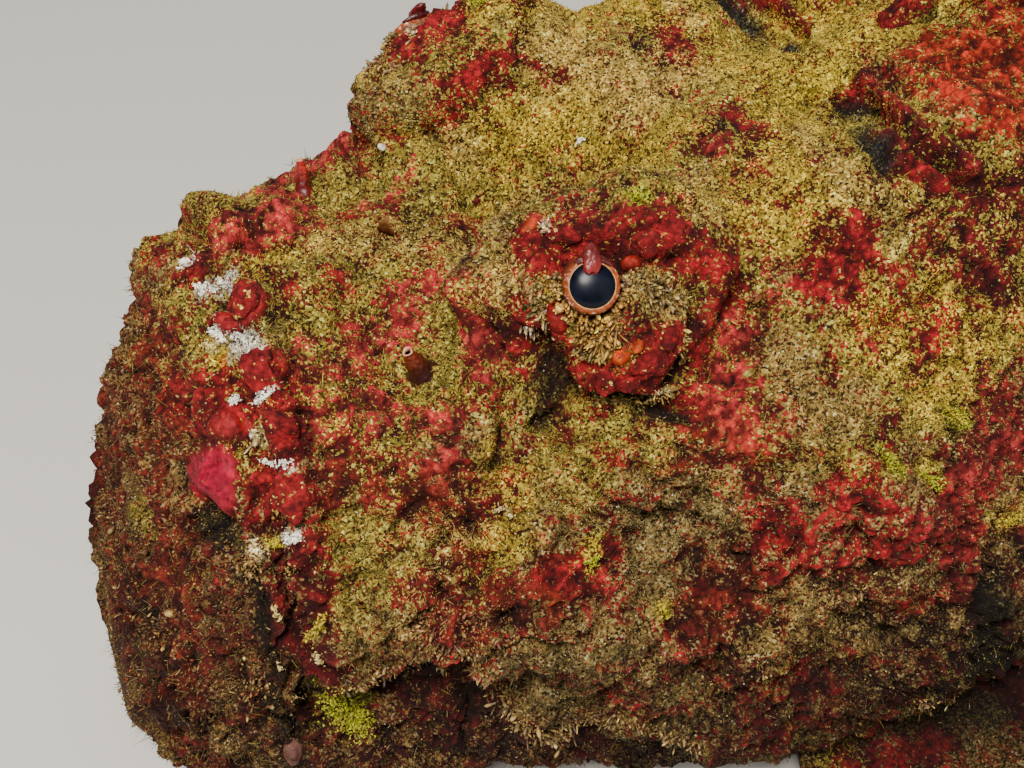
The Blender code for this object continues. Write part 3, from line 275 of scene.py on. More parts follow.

# Patches of bare skin, and of painted shade where hollows, gaps and overhangs are dark: colour, strength,
# radius, then the line in the frame's pixels
BARE = (
    (MAGENTA, 3.0, 2.7, ((197, 478), (216, 470), (217, 494))),
    (CRIMSON, 1.8, 2.3, ((243, 302),)),
    (CRIMSON, 2.0, 2.6, ((259, 360), (264, 382))),
    (CRIMSON, 2.0, 2.6, ((279, 420), (283, 444))),
    (CRIMSON, 2.2, 2.6, ((293, 478), (290, 500))),
    (CRIMSON, 1.6, 2.6, ((268, 482), (262, 520))),
    (WINE, 2.2, 3.0, ((306, 555), (314, 600), (324, 655))),
    (CRIMSON, 1.4, 2.0, ((226, 318),)),
    (CRIMSON, 1.3, 2.4, ((235, 424), (228, 400))),
    (CRIMSON, 1.3, 2.0, ((196, 268),)),
    (ROSE, 1.0, 3.4, ((225, 235), (262, 222), (300, 205))),
    (ROSE, 0.9, 3.6, ((310, 355), (360, 345), (410, 330))),
    (ROSE, 1.1, 3.0, ((400, 292), (450, 280))),
    (ROSE, 0.9, 4.0, ((330, 410), (390, 405), (440, 440))),
    (ROSE, 0.9, 3.6, ((460, 410), (485, 370), (490, 320))),
    (BRICK, 0.9, 4.0, ((330, 470), (400, 480), (450, 500))),
    (CRIMSON, 1.0, 3.4, ((520, 450), (490, 520))),
    (CRIMSON, 2.0, 5.0, ((385, 10), (420, 45))),
    (CRIMSON, 1.3, 2.6, ((470, 80), (520, 66), (560, 76))),
    (CRIMSON, 1.1, 3.4, ((440, 110), (462, 100))),
    (DEEP_RED, 1.4, 3.4, ((718, 130), (748, 112), (752, 140))),
    (CRIMSON, 1.2, 2.6, ((735, 105), (760, 130))),
    (CRIMSON, 0.9, 2.8, ((540, 240), (590, 236), (620, 232))),
    (CRIMSON, 1.6, 3.4, ((640, 240), (690, 250), (720, 270))),
    (CRIMSON, 1.6, 3.2, ((720, 300), (705, 340), (706, 400))),
    (CRIMSON, 1.8, 3.2, ((592, 384), (640, 375), (668, 340))),
    (ROSE, 0.9, 4.4, ((735, 330), (730, 390), (745, 430))),
    (CRIMSON, 1.3, 2.2, ((545, 330), (535, 300))),
    (CRIMSON, 1.4, 3.4, ((822, 286), (838, 262))),
    (CRIMSON, 1.2, 3.0, ((850, 225), (880, 240))),
    (SCARLET, 0.9, 8.0, ((955, 50), (1010, 40))),
    (FLAME, 0.6, 7.0, ((950, 60), (1010, 40), (1015, 95))),
    (SCARLET, 1.2, 4.0, ((1000, 95), (1020, 120))),
    (PINK_RED, 2.6, 1.2, ((864, 78), (890, 108), (920, 140), (968, 168))),
    (CRIMSON, 1.5, 1.6, ((884, 138), (912, 164), (940, 186))),
    (FLAME, 0.9, 4.0, ((950, 100), (1005, 130))),
    (WINE, 1.0, 4.6, ((1005, 190), (990, 240), (1010, 280))),
    # Painted shade in the groove below the ridge, beside the pit
    (DEEP_RED, 0.6, 2.4, ((900, 140), (940, 160))),
    (PINK_RED, 1.3, 4.4, ((985, 400), (1000, 440), (975, 480))),
    (PINK_RED, 1.2, 4.4, ((930, 520), (965, 540))),
    (CRIMSON, 1.0, 4.4, ((860, 500), (900, 560))),
    (CRIMSON, 1.0, 2.6, ((925, 345), (945, 330))),
    (ORANGE, 1.3, 2.2, ((545, 600), (562, 575))),
    (CRIMSON, 1.3, 3.0, ((550, 580), (610, 560))),
    (BRICK, 0.9, 4.0, ((700, 560), (760, 590), (700, 620))),
    (CRIMSON, 0.9, 4.2, ((780, 520), (820, 560))),
    # Dark red skin, darkened further as painted shade under the cheek's ledge and along the bottom edge
    (WINE, 2.4, 4.0, ((400, 694), (450, 680), (500, 712), (440, 730))),
    (DEEP_RED, 1.8, 5.0, ((600, 752), (680, 765), (400, 750))),
    (BRICK, 0.8, 5.0, ((430, 560), (480, 590), (520, 640))),
    (ORANGE, 0.3, 3.4, ((640, 460), (735, 440), (760, 450))),
    (BRICK, 0.9, 6.0, ((150, 330), (180, 400), (150, 450))),
    (BRICK, 0.9, 6.0, ((110, 600), (170, 560), (200, 640), (160, 700))),
    (CRIMSON, 0.7, 3.0, ((165, 395), (200, 420))),
    # Painted shade in the rows below, except the WINE lip band: hollows and creases by the eye and lip, the
    # mouth's foot, under the cheek's ledge, the lower right gap and the pit
    (SHADE, 0.9, 2.6, ((545, 378), (560, 400), (548, 412))),
    (SHADE, 0.9, 1.6, ((606, 404), (640, 410), (684, 412))),
    (SHADE, 0.9, 1.4, ((682, 330), (679, 372))),
    (SHADE, 0.8, 2.4, ((262, 700), (285, 730), (300, 768))),
    (DEEP_RED, 1.2, 3.0, ((330, 706), (400, 700), (470, 672), (520, 745), (600, 738), (690, 760))),
    (SHADE, 1.0, 5.6, ((990, 590), (995, 660), (965, 730), (880, 744))),
    (DEEP_RED, 1.0, 3.4, ((860, 620), (910, 640), (960, 630))),
    (BLUE_BLACK, 1.0, 1.5, ((850, 108), (866, 132), (886, 152))),
    (SHADE, 0.8, 2.2, ((105, 612), (130, 622), (150, 618))),
    (SHADE, 1.1, 1.8, ((195, 520), (235, 548), (258, 610), (270, 670))),
    (WINE, 2.0, 3.0, ((284, 556), (292, 600), (300, 660))),
    (DEEP_RED, 1.4, 5.0, ((880, 690), (930, 690), (960, 660))),
)

# Growths on the skin: colour, cover, radius, then the line in the frame's pixels
GROWTHS = (
    (OLIVE, 1.0, 6.0, ((340, 200), (430, 170), (520, 150))),
    (MUSTARD, 1.0, 6.0, ((500, 140), (580, 120), (650, 150))),
    (SAND, 1.0, 6.0, ((560, 60), (640, 90), (700, 60))),
    (MUSTARD, 1.0, 6.0, ((740, 190), (790, 220), (800, 150), (770, 60))),
    (YELLOW, 0.8, 3.0, ((805, 95), (835, 75))),
    (MUSTARD, 1.1, 5.0, ((850, 40), (900, 15), (800, 20))),
    (SAND, 0.8, 1.8, ((796, 126), (818, 150), (846, 184))),
    (SAND, 0.7, 5.0, ((320, 240), (400, 230), (460, 260))),
    (SAND, 0.7, 3.4, ((850, 185), (880, 205), (900, 235))),
    (SAND, 0.6, 3.0, ((690, 170), (700, 210))),
    (OLIVE, 0.9, 4.4, ((540, 450), (600, 440), (580, 470))),
    (MUSTARD, 0.8, 3.4, ((500, 480), (520, 510), (500, 540))),
    (SAND, 0.7, 4.0, ((460, 520), (430, 560))),
    (OLIVE, 0.8, 4.4, ((345, 540), (390, 560), (370, 610))),
    (TAN, 0.9, 4.6, ((780, 360), (800, 420), (850, 400))),
    (MUSTARD, 0.9, 4.4, ((880, 330), (930, 380), (985, 340), (940, 310))),
    (LIME, 0.8, 1.7, ((948, 410), (962, 418))),
    (YELLOW, 0.8, 1.8, ((925, 470), (940, 482))),
    (LIME, 0.9, 1.5, ((888, 455), (895, 468))),
    (OLIVE, 0.9, 3.0, ((1000, 520), (1020, 515))),
    (LIME, 1.6, 2.6, ((328, 702), (345, 720), (358, 712))),
    (YELLOW, 0.9, 1.6, ((588, 566), (598, 540))),
    (YELLOW, 0.9, 1.6, ((664, 610),)),
    (LIME, 0.8, 2.0, ((836, 750), (850, 756))),
    (LIME, 0.9, 1.6, ((634, 194), (640, 204))),
    (GREY, 0.9, 5.0, ((600, 660), (560, 690), (520, 660))),
    (GREY, 0.8, 5.0, ((640, 500), (700, 520), (660, 570))),
    (TAN, 0.8, 5.0, ((800, 610), (850, 640), (780, 640))),
    (GREY, 0.8, 4.4, ((840, 540), (800, 500))),
    (TAN, 0.8, 4.0, ((360, 650), (400, 620))),
    (GREY, 0.8, 3.4, ((412, 96), (395, 110))),
    (SAND, 0.8, 2.6, ((520, 205), (520, 260), (512, 300))),
    (SAND, 0.7, 2.8, ((655, 290), (672, 300))),
    (UMBER, 0.8, 4.0, ((225, 570), (240, 640), (250, 700))),
    (UMBER, 0.8, 4.0, ((110, 300), (95, 380), (110, 450), (100, 520))),
    (OLIVE, 0.7, 2.6, ((135, 515), (150, 530))),
    (WHITE, 2.2, 1.5, ((203, 292), (214, 288), (226, 283))),
    (WHITE, 2.2, 0.8, ((184, 268), (196, 263))),
    (WHITE, 2.4, 1.8, ((220, 330), (236, 338), (250, 346))),
    (YELLOW, 1.8, 1.0, ((205, 344), (214, 352), (222, 362))),
    (WHITE, 2.0, 1.0, ((286, 541), (302, 536))),
    (YELLOW, 2.0, 0.8, ((270, 542), (279, 545))),
    (WHITE, 2.0, 0.6, ((265, 462), (291, 465))),
    (WHITE, 2.0, 0.6, ((252, 407), (262, 399), (274, 391))),
    (PALE, 1.6, 0.9, ((254, 434), (258, 443))),
    (PALE, 1.2, 0.8, ((252, 543), (256, 552))),
    (UMBER, 1.4, 2.8, ((580, 324), (598, 340), (618, 330))),
    (TAN, 1.2, 2.4, ((644, 284), (668, 298))),
    (TAN, 1.0, 1.4, ((536, 284), (540, 304))),
    (PALE, 1.0, 0.9, ((590, 402), (630, 396), (670, 392))),
    (YELLOW, 1.6, 0.9, ((312, 640), (322, 626))),
    # Painted shade: the dark olive rows darken the growth in the hollows by the eye, the lower right gap, the
    # mouth's foot and the lip's groove, and the blue-black row darkens the pit
    (SHADED_OLIVE, 0.85, 2.2, ((545, 378), (560, 400), (548, 412))),
    (SHADED_OLIVE, 1.0, 1.2, ((606, 404), (640, 410), (684, 412))),
    (SHADED_OLIVE, 1.0, 1.1, ((682, 330), (679, 372))),
    (SHADED_OLIVE, 1.0, 4.6, ((995, 610), (1000, 670), (970, 740))),
    (SHADED_OLIVE, 0.8, 2.4, ((262, 700), (285, 730), (300, 768))),
    (BLUE_BLACK, 0.9, 1.5, ((850, 106), (866, 130), (888, 156))),
    (SHADED_OLIVE, 0.8, 1.4, ((195, 522), (235, 550), (256, 600), (266, 650))),
)

# Frills and cirri: colours at the root and tip, count, length, width, spread, then the line in pixels
FRILLS = (
    (UMBER, GOLD, 34, 2.6, 0.37, 1.0, ((572, 318), (584, 326), (604, 330), (624, 322))),
    (UMBER, GOLD, 26, 2.6, 0.37, 1.2, ((576, 334), (592, 342), (616, 338))),
    (UMBER, SAND, 16, 2.0, 0.37, 0.8, ((580, 350), (600, 353), (620, 348))),
    (UMBER, TAN, 40, 2.3, 0.37, 1.4, ((638, 280), (655, 290), (672, 306))),
    (UMBER, SAND, 10, 1.8, 0.37, 0.6, ((674, 292), (684, 304))),
    (UMBER, TAN, 26, 1.9, 0.37, 1.0, ((534, 280), (538, 300), (545, 322))),
    (DEEP_RED, PALE, 10, 1.6, 0.37, 0.6, ((526, 320), (536, 332))),
    (UMBER, SAND, 40, 1.3, 0.37, 0.7, ((590, 400), (620, 398), (650, 400), (676, 390))),
    (DEEP_RED, SAND, 14, 1.6, 0.37, 0.5, ((684, 330), (682, 366))),
    (BRICK, PALE, 10, 1.3, 0.37, 0.7, ((542, 226), (554, 232))),
    (BRICK, TAN, 20, 1.6, 0.37, 0.9, ((512, 200), (508, 250), (506, 300))),
    (WHITE, WHITE, 26, 2.2, 0.30, 0.8, ((198, 290), (212, 290), (226, 282))),
    (WHITE, WHITE, 50, 2.4, 0.30, 1.1, ((214, 332), (232, 338), (248, 344))),
    (YELLOW, PALE, 12, 2.0, 0.30, 0.7, ((206, 344), (216, 352))),
    (YELLOW, ORANGE, 8, 1.6, 0.30, 0.5, ((222, 366), (230, 356))),
    (WHITE, WHITE, 10, 2.0, 0.30, 0.4, ((250, 408), (262, 400), (274, 390))),
    (WHITE, WHITE, 8, 1.6, 0.30, 0.5, ((236, 398), (232, 404))),
    (UMBER, PALE, 12, 1.8, 0.30, 0.6, ((252, 432), (256, 444))),
    (WHITE, WHITE, 12, 1.7, 0.30, 0.4, ((262, 462), (280, 464), (292, 463))),
    (WHITE, WHITE, 12, 1.9, 0.30, 0.5, ((288, 540), (300, 537))),
    (YELLOW, YELLOW, 8, 1.5, 0.30, 0.4, ((272, 542), (278, 546))),
    (WHITE, WHITE, 8, 1.7, 0.30, 0.4, ((181, 266), (190, 262))),
    (SAND, YELLOW, 14, 1.6, 0.30, 0.5, ((308, 640), (318, 624), (324, 616))),
    (SAND, PALE, 10, 1.5, 0.30, 0.5, ((322, 660), (318, 655))),
    (YELLOW, PALE, 6, 1.5, 0.30, 0.3, ((276, 606), (279, 618))),
    (YELLOW, PALE, 4, 1.5, 0.30, 0.3, ((286, 568), (289, 574))),
    (YELLOW, PALE, 4, 1.5, 0.30, 0.3, ((276, 664), (280, 668))),
    (OLIVE, LIME, 90, 1.3, 0.30, 2.2, ((326, 700), (344, 718), (358, 712), (362, 732))),
    (OLIVE, YELLOW, 12, 1.8, 0.30, 0.9, ((946, 410), (962, 418))),
    (OLIVE, LIME, 14, 2.0, 0.30, 0.9, ((922, 474), (940, 486))),
    (OLIVE, LIME, 8, 1.6, 0.30, 0.6, ((888, 455), (894, 470))),
    (OLIVE, YELLOW, 10, 1.8, 0.30, 0.9, ((1000, 522), (1018, 516))),
    (OLIVE, LIME, 14, 2.0, 0.30, 1.0, ((832, 748), (852, 758))),
    (OLIVE, LIME, 8, 1.7, 0.30, 0.6, ((586, 570), (596, 556))),
    (OLIVE, YELLOW, 8, 1.7, 0.30, 0.6, ((660, 606), (666, 618))),
    (OLIVE, LIME, 8, 1.5, 0.37, 0.6, ((634, 192), (641, 200))),
    (UMBER, TAN, 60, 2.2, 0.30, 1.4, ((498, 690), (520, 724), (545, 738), (566, 734))),
    (DEEP_RED, TAN, 60, 1.8, 0.30, 1.2, ((566, 726), (590, 718), (622, 720), (662, 734), (704, 748))),
    (DEEP_RED, TAN, 60, 1.9, 0.30, 1.0, ((340, 690), (385, 672), (430, 650), (470, 650), (488, 680))),
    (CRIMSON, TAN, 26, 1.5, 0.30, 2.5, ((420, 630), (460, 620), (500, 640))),
    (DEEP_RED, TAN, 26, 1.4, 0.30, 1.2, ((750, 684), (797, 654), (848, 604), (880, 575))),
    (DEEP_RED, TAN, 20, 1.5, 0.30, 1.2, ((915, 703), (935, 706), (955, 700))),
    (BRICK, TAN, 24, 1.4, 0.30, 2.0, ((222, 545), (248, 575), (256, 560))),
    (BRICK, TAN, 20, 1.4, 0.30, 2.4, ((238, 640), (262, 690), (240, 700))),
    (BRICK, TAN, 30, 1.3, 0.30, 4.0, ((110, 480), (130, 540), (110, 620), (140, 700))),
    (BRICK, TAN, 26, 1.3, 0.30, 4.0, ((150, 610), (190, 660), (170, 730))),
    (GREY, PALE, 6, 1.2, 0.30, 0.4, ((494, 508), (506, 506), (514, 520))),
    (WHITE, WHITE, 5, 1.2, 0.37, 0.3, ((578, 144), (584, 138))),
)

# Single lobes and beads of skin: colour, half length, half width, height, tilt in degrees, pixel
LOBES = (
    ((0.20, 0.007, 0.006), 2.1, 1.45, 1.5, 95, (558, 316)),
    # This bead is orange-red, darkened as painted shade where it sits in shadow
    ((0.36, 0.022, 0.010), 1.25, 1.0, 1.1, 10, (631, 264)),
    ((0.60, 0.06, 0.006), 1.3, 1.0, 1.2, 0, (620, 357)),
    (ORANGE, 0.9, 0.7, 0.8, 60, (638, 347)),
    ((0.50, 0.05, 0.012), 1.4, 1.0, 0.8, 90, (530, 226)),
    (CRIMSON, 1.8, 1.5, 1.0, 80, (604, 380)),
    (CRIMSON, 2.4, 1.8, 1.3, 30, (648, 364)),
    (CRIMSON, 1.7, 1.3, 1.2, 60, (668, 340)),
    (CRIMSON, 1.5, 1.2, 0.9, 20, (628, 384)),
    (CRIMSON, 2.2, 1.2, 0.8, 0, (566, 236)),
    (CRIMSON, 1.8, 1.3, 0.9, -20, (676, 228)),
    (CRIMSON, 1.9, 1.4, 1.0, -10, (648, 243)),
    (CRIMSON, 1.6, 1.1, 0.8, 90, (530, 320)),
    (CRIMSON, 2.3, 1.6, 0.55, 50, (244, 303)),
    (CRIMSON, 2.8, 1.9, 0.6, 95, (260, 372)),
    (CRIMSON, 3.2, 1.9, 0.6, 100, (279, 430)),
    (CRIMSON, 3.1, 2.2, 0.7, 95, (293, 494)),
    (CRIMSON, 2.2, 1.2, 0.6, 80, (271, 505)),
    (CRIMSON, 1.5, 1.1, 0.6, 120, (252, 412)),
    ((0.17, 0.07, 0.05), 2.6, 1.4, 1.0, 88, (293, 746)),
    (WHITE, 0.7, 0.6, 0.5, 0, (382, 147)),
    (SAND, 0.7, 0.45, 0.6, 10, (748, 374)),
)

# The nostril tubes: pixel, direction to the right, upwards and to the viewer, height,
# radius at the foot and mouth, and colours of both
NOSTRILS = (
    ((421, 371), (-0.5, 0.75, 1.0), 4.3, 1.95, 0.72, (0.030, 0.004, 0.004), (0.20, 0.030, 0.009)),
    ((304, 190), (-0.1, 1.0, 0.5), 4.6, 1.45, 0.62, (0.10, 0.006, 0.006), (0.34, 0.020, 0.014)),
)

# How much grows on the fish
PATCH = 0.003  # the size of each piece's place on the skin's map
PIECE_LIMIT = 190000
GRAINS = 76000
GRAIN_SIZE = 0.225
BLADES = 100000
BUSHES = 1300
BUSH_STRANDS = 9
HAIRS = 4000
FLAPS = 320
LASHES = 200
FIN_GRAINS = 0.2
FIN_BLADES = 0.12
FIN_GROWTH_FLOOR = 1.6
GRAIN_PALETTE = np.array((
    (0.03, 0.02, 0.010), (0.13, 0.08, 0.020), (0.36, 0.25, 0.040), (0.62, 0.45, 0.09), (0.85, 0.70, 0.28),
    (0.95, 0.90, 0.74),
))
GRAIN_CHANCES = (0.19, 0.23, 0.26, 0.19, 0.09, 0.04)

# Smooth patches of skin: radius, then the line in the frame's pixels
SLEEK = (
    (2.8, ((197, 478), (216, 470), (217, 494))),
    (2.8, ((243, 302),)),
    (2.0, ((226, 318),)),
    (2.2, ((235, 424),)),
)

# Colours of the growths that form crusts
CRUSTS = (WHITE, YELLOW, OLIVE, SAND, GREY)

# The eyes, lids and nostrils, and the bare tips of the spines
SIDES = ((-1, "left"), (1, "right"))
PUPIL_RADIUS = 2.70
RIM_RADIUS = 2.80
IRIS_RADIUS = 3.44
PUPIL_SIDES = 72
IRIS_SIDES = 220
NOSTRIL_SIDES = 48
IRIS_BROWN = (0.27, 0.050, 0.010)
IRIS_GOLD = (0.46, 0.27, 0.075)
IRIS_CREAM = (0.80, 0.66, 0.42)
CROWN_RED = (0.22, 0.011, 0.011)
LID_RED = (0.09, 0.007, 0.007)
NOSTRIL_PIT_SHADE = (0.004, 0.002, 0.002)
SPINE_TIP = (0.55, 0.40, 0.28)

# The fins' grids, and the square of tiles that their maps lie in
FIN_ROWS = int(46 / FINE)
RAY_COLUMNS = max(int(7 / FINE), 4)
FIN_TILES = 4
FIN_FLOOR = 0.1

# Fins in the middle: name, roots, tips, rays, thickness at the root and tip, notches, lowest place
MIDDLE_FINS = (
    ("soft_dorsal", SOFT_DORSAL_ROOTS, SOFT_DORSAL_TIPS, 7, 5.0, 1.4, 0.10, None),
    ("anal", ANAL_ROOTS, ANAL_TIPS, 8, 5.0, 1.4, 0.10, FIN_FLOOR),
    ("caudal", CAUDAL_ROOTS, CAUDAL_TIPS, 12, 6.0, 1.2, 0.07, None),
)

# Fins in pairs: name, base, tips, rays, bow, thickness at the root, notches
PAIRED_FINS = (
    ("pectoral", PECTORAL_BASE, PECTORAL_TIPS, 18, 9, 6.0, 0.07),
    ("pelvic", PELVIC_BASE, PELVIC_TIPS, 6, 0, 5.0, 0.09),
)

# The sizes and tones of the materials' textures
GRAIN_SCALE = 3300.0
COARSE_SCALE = 1700.0
KNOB_SCALE = 1150.0
# Painted shade in the crannies between the skin's knobs, with a slightly lighter middle to each knob as a
# painted highlight
CRANNY_SHADE_TONES = (
    (0.2, (1.15, 1.15, 1.15)),
    (0.5, (0.90, 0.88, 0.88)),
    (0.72, (0.50, 0.45, 0.45)),
    (0.9, (0.22, 0.18, 0.18)),
)
# The two brightest stops make pale specks that are partly pale grains and partly painted glints, a painted
# highlight
GRAIN_TONES = (
    (0.0, (0.05, 0.03, 0.02)),
    (0.16, (0.16, 0.11, 0.07)),
    (0.34, (0.55, 0.46, 0.34)),
    (0.60, (0.98, 0.92, 0.80)),
    (0.86, (1.45, 1.38, 1.20)),
    (0.95, (1.9, 2.1, 2.7)),
    (1.0, (2.0, 2.6, 4.5)),
)
GROWTH_TONES = ((0.3, (0.6, 0.58, 0.55)), (0.7, (1.25, 1.25, 1.2)))
LOBE_TONES = ((0.3, (0.62, 0.5, 0.5)), (0.6, (1.05, 1.0, 1.0)), (0.75, (1.2, 1.6, 1.5)))
PUPIL_TONES = ((0.3, (0.001, 0.002, 0.005)), (0.7, (0.004, 0.006, 0.015)))
PUPIL_ROUGHNESS = ((0.3, (0.26, 0.26, 0.26)), (0.7, (0.33, 0.33, 0.33)))
CLOUD_TONES = ((0.32, (0.35, 0.33, 0.33)), (0.5, (0.95, 0.95, 0.95)), (0.68, (1.5, 1.5, 1.45)))
SKIN_TONES = (
    (0.0, (0.35, 0.30, 0.30)),
    (0.25, (0.75, 0.70, 0.70)),
    (0.6, (1.0, 1.0, 1.0)),
    (0.9, (1.25, 1.3, 1.3)),
    (1.0, (1.5, 2.6, 2.2)),
)

# The lattice that smooth noise is read from
LATTICE = 64
NOISE_GAIN = 1.7
SEED_STEP = np.array((13.7, 7.9, 29.3), np.float32)

# Smooth noise

TABLE = np.random.default_rng(SEED).normal(size=(LATTICE**3, 3)).astype(np.float32)
TABLE /= np.linalg.norm(TABLE, axis=1, keepdims=True)
CELL_POINTS = np.random.default_rng(SEED + 1).random((LATTICE**3, 4)).astype(np.float32)[:, :3]
CORNERS = tuple((i, j, k) for i in (0, 1) for j in (0, 1) for k in (0, 1))


def lattice_index(cell):
    wrapped = cell & (LATTICE - 1)
    return (wrapped[..., 0] * LATTICE + wrapped[..., 1]) * LATTICE + wrapped[..., 2]


def noise(points, size, seed=0):
    """Smooth noise from about -1 to 1, with lumps about size across."""
    place = (points / size).astype(np.float32) + SEED_STEP * (seed + 1)
    cell = np.floor(place).astype(np.int64)
    part = place - cell
    ease = part**3 * (part * (part * 6 - 15) + 10)
    total = np.zeros(points.shape[:-1], np.float32)
    for corner in CORNERS:
        shift = np.array(corner)
        dot = (TABLE[lattice_index(cell + shift)] * (part - shift.astype(np.float32))).sum(-1)
        weight = np.where(shift == 1, ease, 1 - ease)
        total += dot * weight[..., 0] * weight[..., 1] * weight[..., 2]
    return total * NOISE_GAIN


def noise_vector(points, size, seed):
    return np.stack([noise(points, size, seed + k) for k in range(3)], -1)


def layers(points, size, count, seed=0, gain=0.5):
    """Noise in several sizes, each half the one before."""
    total = 0
    strength = 1.0
    for k in range(count):
        total = total + strength * noise(points, size / 2**k, seed + 3 * k)
        strength *= gain
    return total


def cells(points, size, seed=0):
    """Distance to the nearest of many scattered places, in cell sizes, rounded off near each place."""
    place = (points / size).astype(np.float32) + SEED_STEP * (seed + 1)
    cell = np.floor(place).astype(np.int64)
    nearest = np.full(points.shape[:-1], 9.0, np.float32)
    for i in (-1, 0, 1):
        for j in (-1, 0, 1):
            for k in (-1, 0, 1):
                there = cell + np.array((i, j, k))
                away = np.linalg.norm(there + CELL_POINTS[lattice_index(there)] - place, axis=-1)
                nearest = np.where(away < nearest, away, nearest)
    return np.sqrt(nearest**2 + 0.04)


def smooth_step(low, high, value):
    t = np.clip((value - low) / (high - low), 0, 1)
    return t * t * (3 - 2 * t)


# The body's shape, as in the solids

def hermite(t, step, first, first_slope, last, last_slope):
    """A smooth curve from one value and slope to another, for t from 0 to 1."""
    return (
        (2 * t**3 - 3 * t**2 + 1) * first
        + (t**3 - 2 * t**2 + t) * step * first_slope
        + (3 * t**2 - 2 * t**3) * last
        + (t**3 - t**2) * step * last_slope
    )


def profile(values, x):
    """A smooth curve through a value at each station."""
    stations = np.array(STATION_X, float)
    values = np.array(values, float)
    slopes = np.gradient(values, stations)
    x = np.clip(x, stations[0], stations[-1])
    i = np.clip(np.searchsorted(stations, x) - 1, 0, len(stations) - 2)
    step = stations[i + 1] - stations[i]
    t = (x - stations[i]) / step
    return hermite(t, step, values[i], slopes[i], values[i + 1], slopes[i + 1])


def signed_power(value, power):
    return np.sign(value) * np.abs(value) ** power


def before_mouth(x):
    return np.clip((MOUTH_X - x) / (MOUTH_X - CHIN_X), 0, 1)


def end_share(x):
    front = (1 - before_mouth(x) ** CHIN_POWER) ** (1 / CHIN_POWER)
    back = np.clip((x - STATION_X[-1] + TAIL_CAP) / TAIL_CAP, 0, 1)
    return front * np.sqrt(1 - back**2)


def half_section(x, upper):
    widest = profile(WIDEST_Z, x)
    half_height = np.where(upper, profile(BACK_Z, x) - widest, widest - profile(BELLY_Z, x))
    return widest, half_height, np.where(upper, profile(UPPER_POWER, x), profile(LOWER_POWER, x))


def section(x, angle):
    """Points of the plain body; angle is 0 at the back and turns towards the right side."""
    widest, half_height, power = half_section(x, np.cos(angle) >= 0)
    y = profile(HALF_WIDTH, x) * signed_power(np.sin(angle), 2 / power)
    z = widest + half_height * signed_power(np.cos(angle), 2 / power)
    share = end_share(x)
    middle = widest + (CHIN_Z - widest) * before_mouth(x)
    tall = np.where(z > widest, share * (1 - CHIN_DROP * before_mouth(x) ** 0.4), share)
    return np.stack([x, y * share, middle + (z - middle) * tall], -1)


def top_z(x, y):
    widest, half_height, power = half_section(x, True)
    return float(widest + half_height * (1 - (abs(y) / profile(HALF_WIDTH, x)) ** power) ** (1 / power))


def side_y(x, z):
    widest, half_height, power = half_section(x, z >= profile(WIDEST_Z, x))
    share = min(abs(z - widest) / half_height, 1)
    return float(profile(HALF_WIDTH, x) * (1 - share**power) ** (1 / power))


def grid_normals(points, closed=True):
    along = np.gradient(points, axis=0)
    if closed:
        across = np.roll(points, -1, 1) - np.roll(points, 1, 1)
    else:
        across = np.gradient(points, axis=1)
    normal = np.cross(across, along)
    return normal / np.maximum(np.linalg.norm(normal, axis=-1, keepdims=True), 1e-9)


def jaw_line_z(x):
    line = np.array(JAW_EDGE, float)
    return np.interp(x, line[:, 0], line[:, 1])


def form_centres():
    top = [((x, y, top_z(x, y)), *rest) for x, y, *rest in TOP_FORMS]
    return top + [((x, side_y(x, z), z), *rest) for x, z, *rest in SIDE_FORMS]


def head_rise(points):
    """How far the head's lumps, hollows and lips stand out from the plain body."""
    x, y, z = points[..., 0], np.abs(points[..., 1]), points[..., 2]
    rise = np.zeros(x.shape)
    for (fx, fy, fz), radius, height, steepness in form_centres():
        away = ((x - fx) ** 2 + (y - fy) ** 2 + (z - fz) ** 2) / radius**2
        rise += height * np.exp(-(away**steepness))
    beside_mouth = smooth_step(MOUTH_CORNER_Z - 14, MOUTH_CORNER_Z, z)
    for side in (-1, 1):
        away = (x - MOUTH_X - side * LIP_OFFSET) / LIP_WIDTH
        rise += beside_mouth * LIP_HEIGHT * np.exp(-(away**2))
    return rise


def bent(points):
    """The tail's swing to the left."""
    points = np.array(points, float)
    turn = np.maximum(points[..., 0] - BEND_X, 0) / BEND_RADIUS
    behind = turn > 0
    reach = BEND_RADIUS + points[..., 1]
    x = np.where(behind, BEND_X + reach * np.sin(turn), points[..., 0])
    y = np.where(behind, reach * np.cos(turn) - BEND_RADIUS, points[..., 1])
    return np.stack([x, y, points[..., 2]], -1)


# Objects

def add_attribute(mesh, key, numbers):
    """A number or a colour for each point, which the materials read."""
    numbers = np.ascontiguousarray(numbers, np.float32)
    if numbers.ndim == 1:
        mesh.attributes.new(key, "FLOAT", "POINT").data.foreach_set("value", numbers)
        return
    rgba = np.ones((len(numbers), 4), np.float32)
    rgba[:, :3] = numbers
    mesh.attributes.new(key, "FLOAT_COLOR", "POINT").data.foreach_set("color", rgba.ravel())


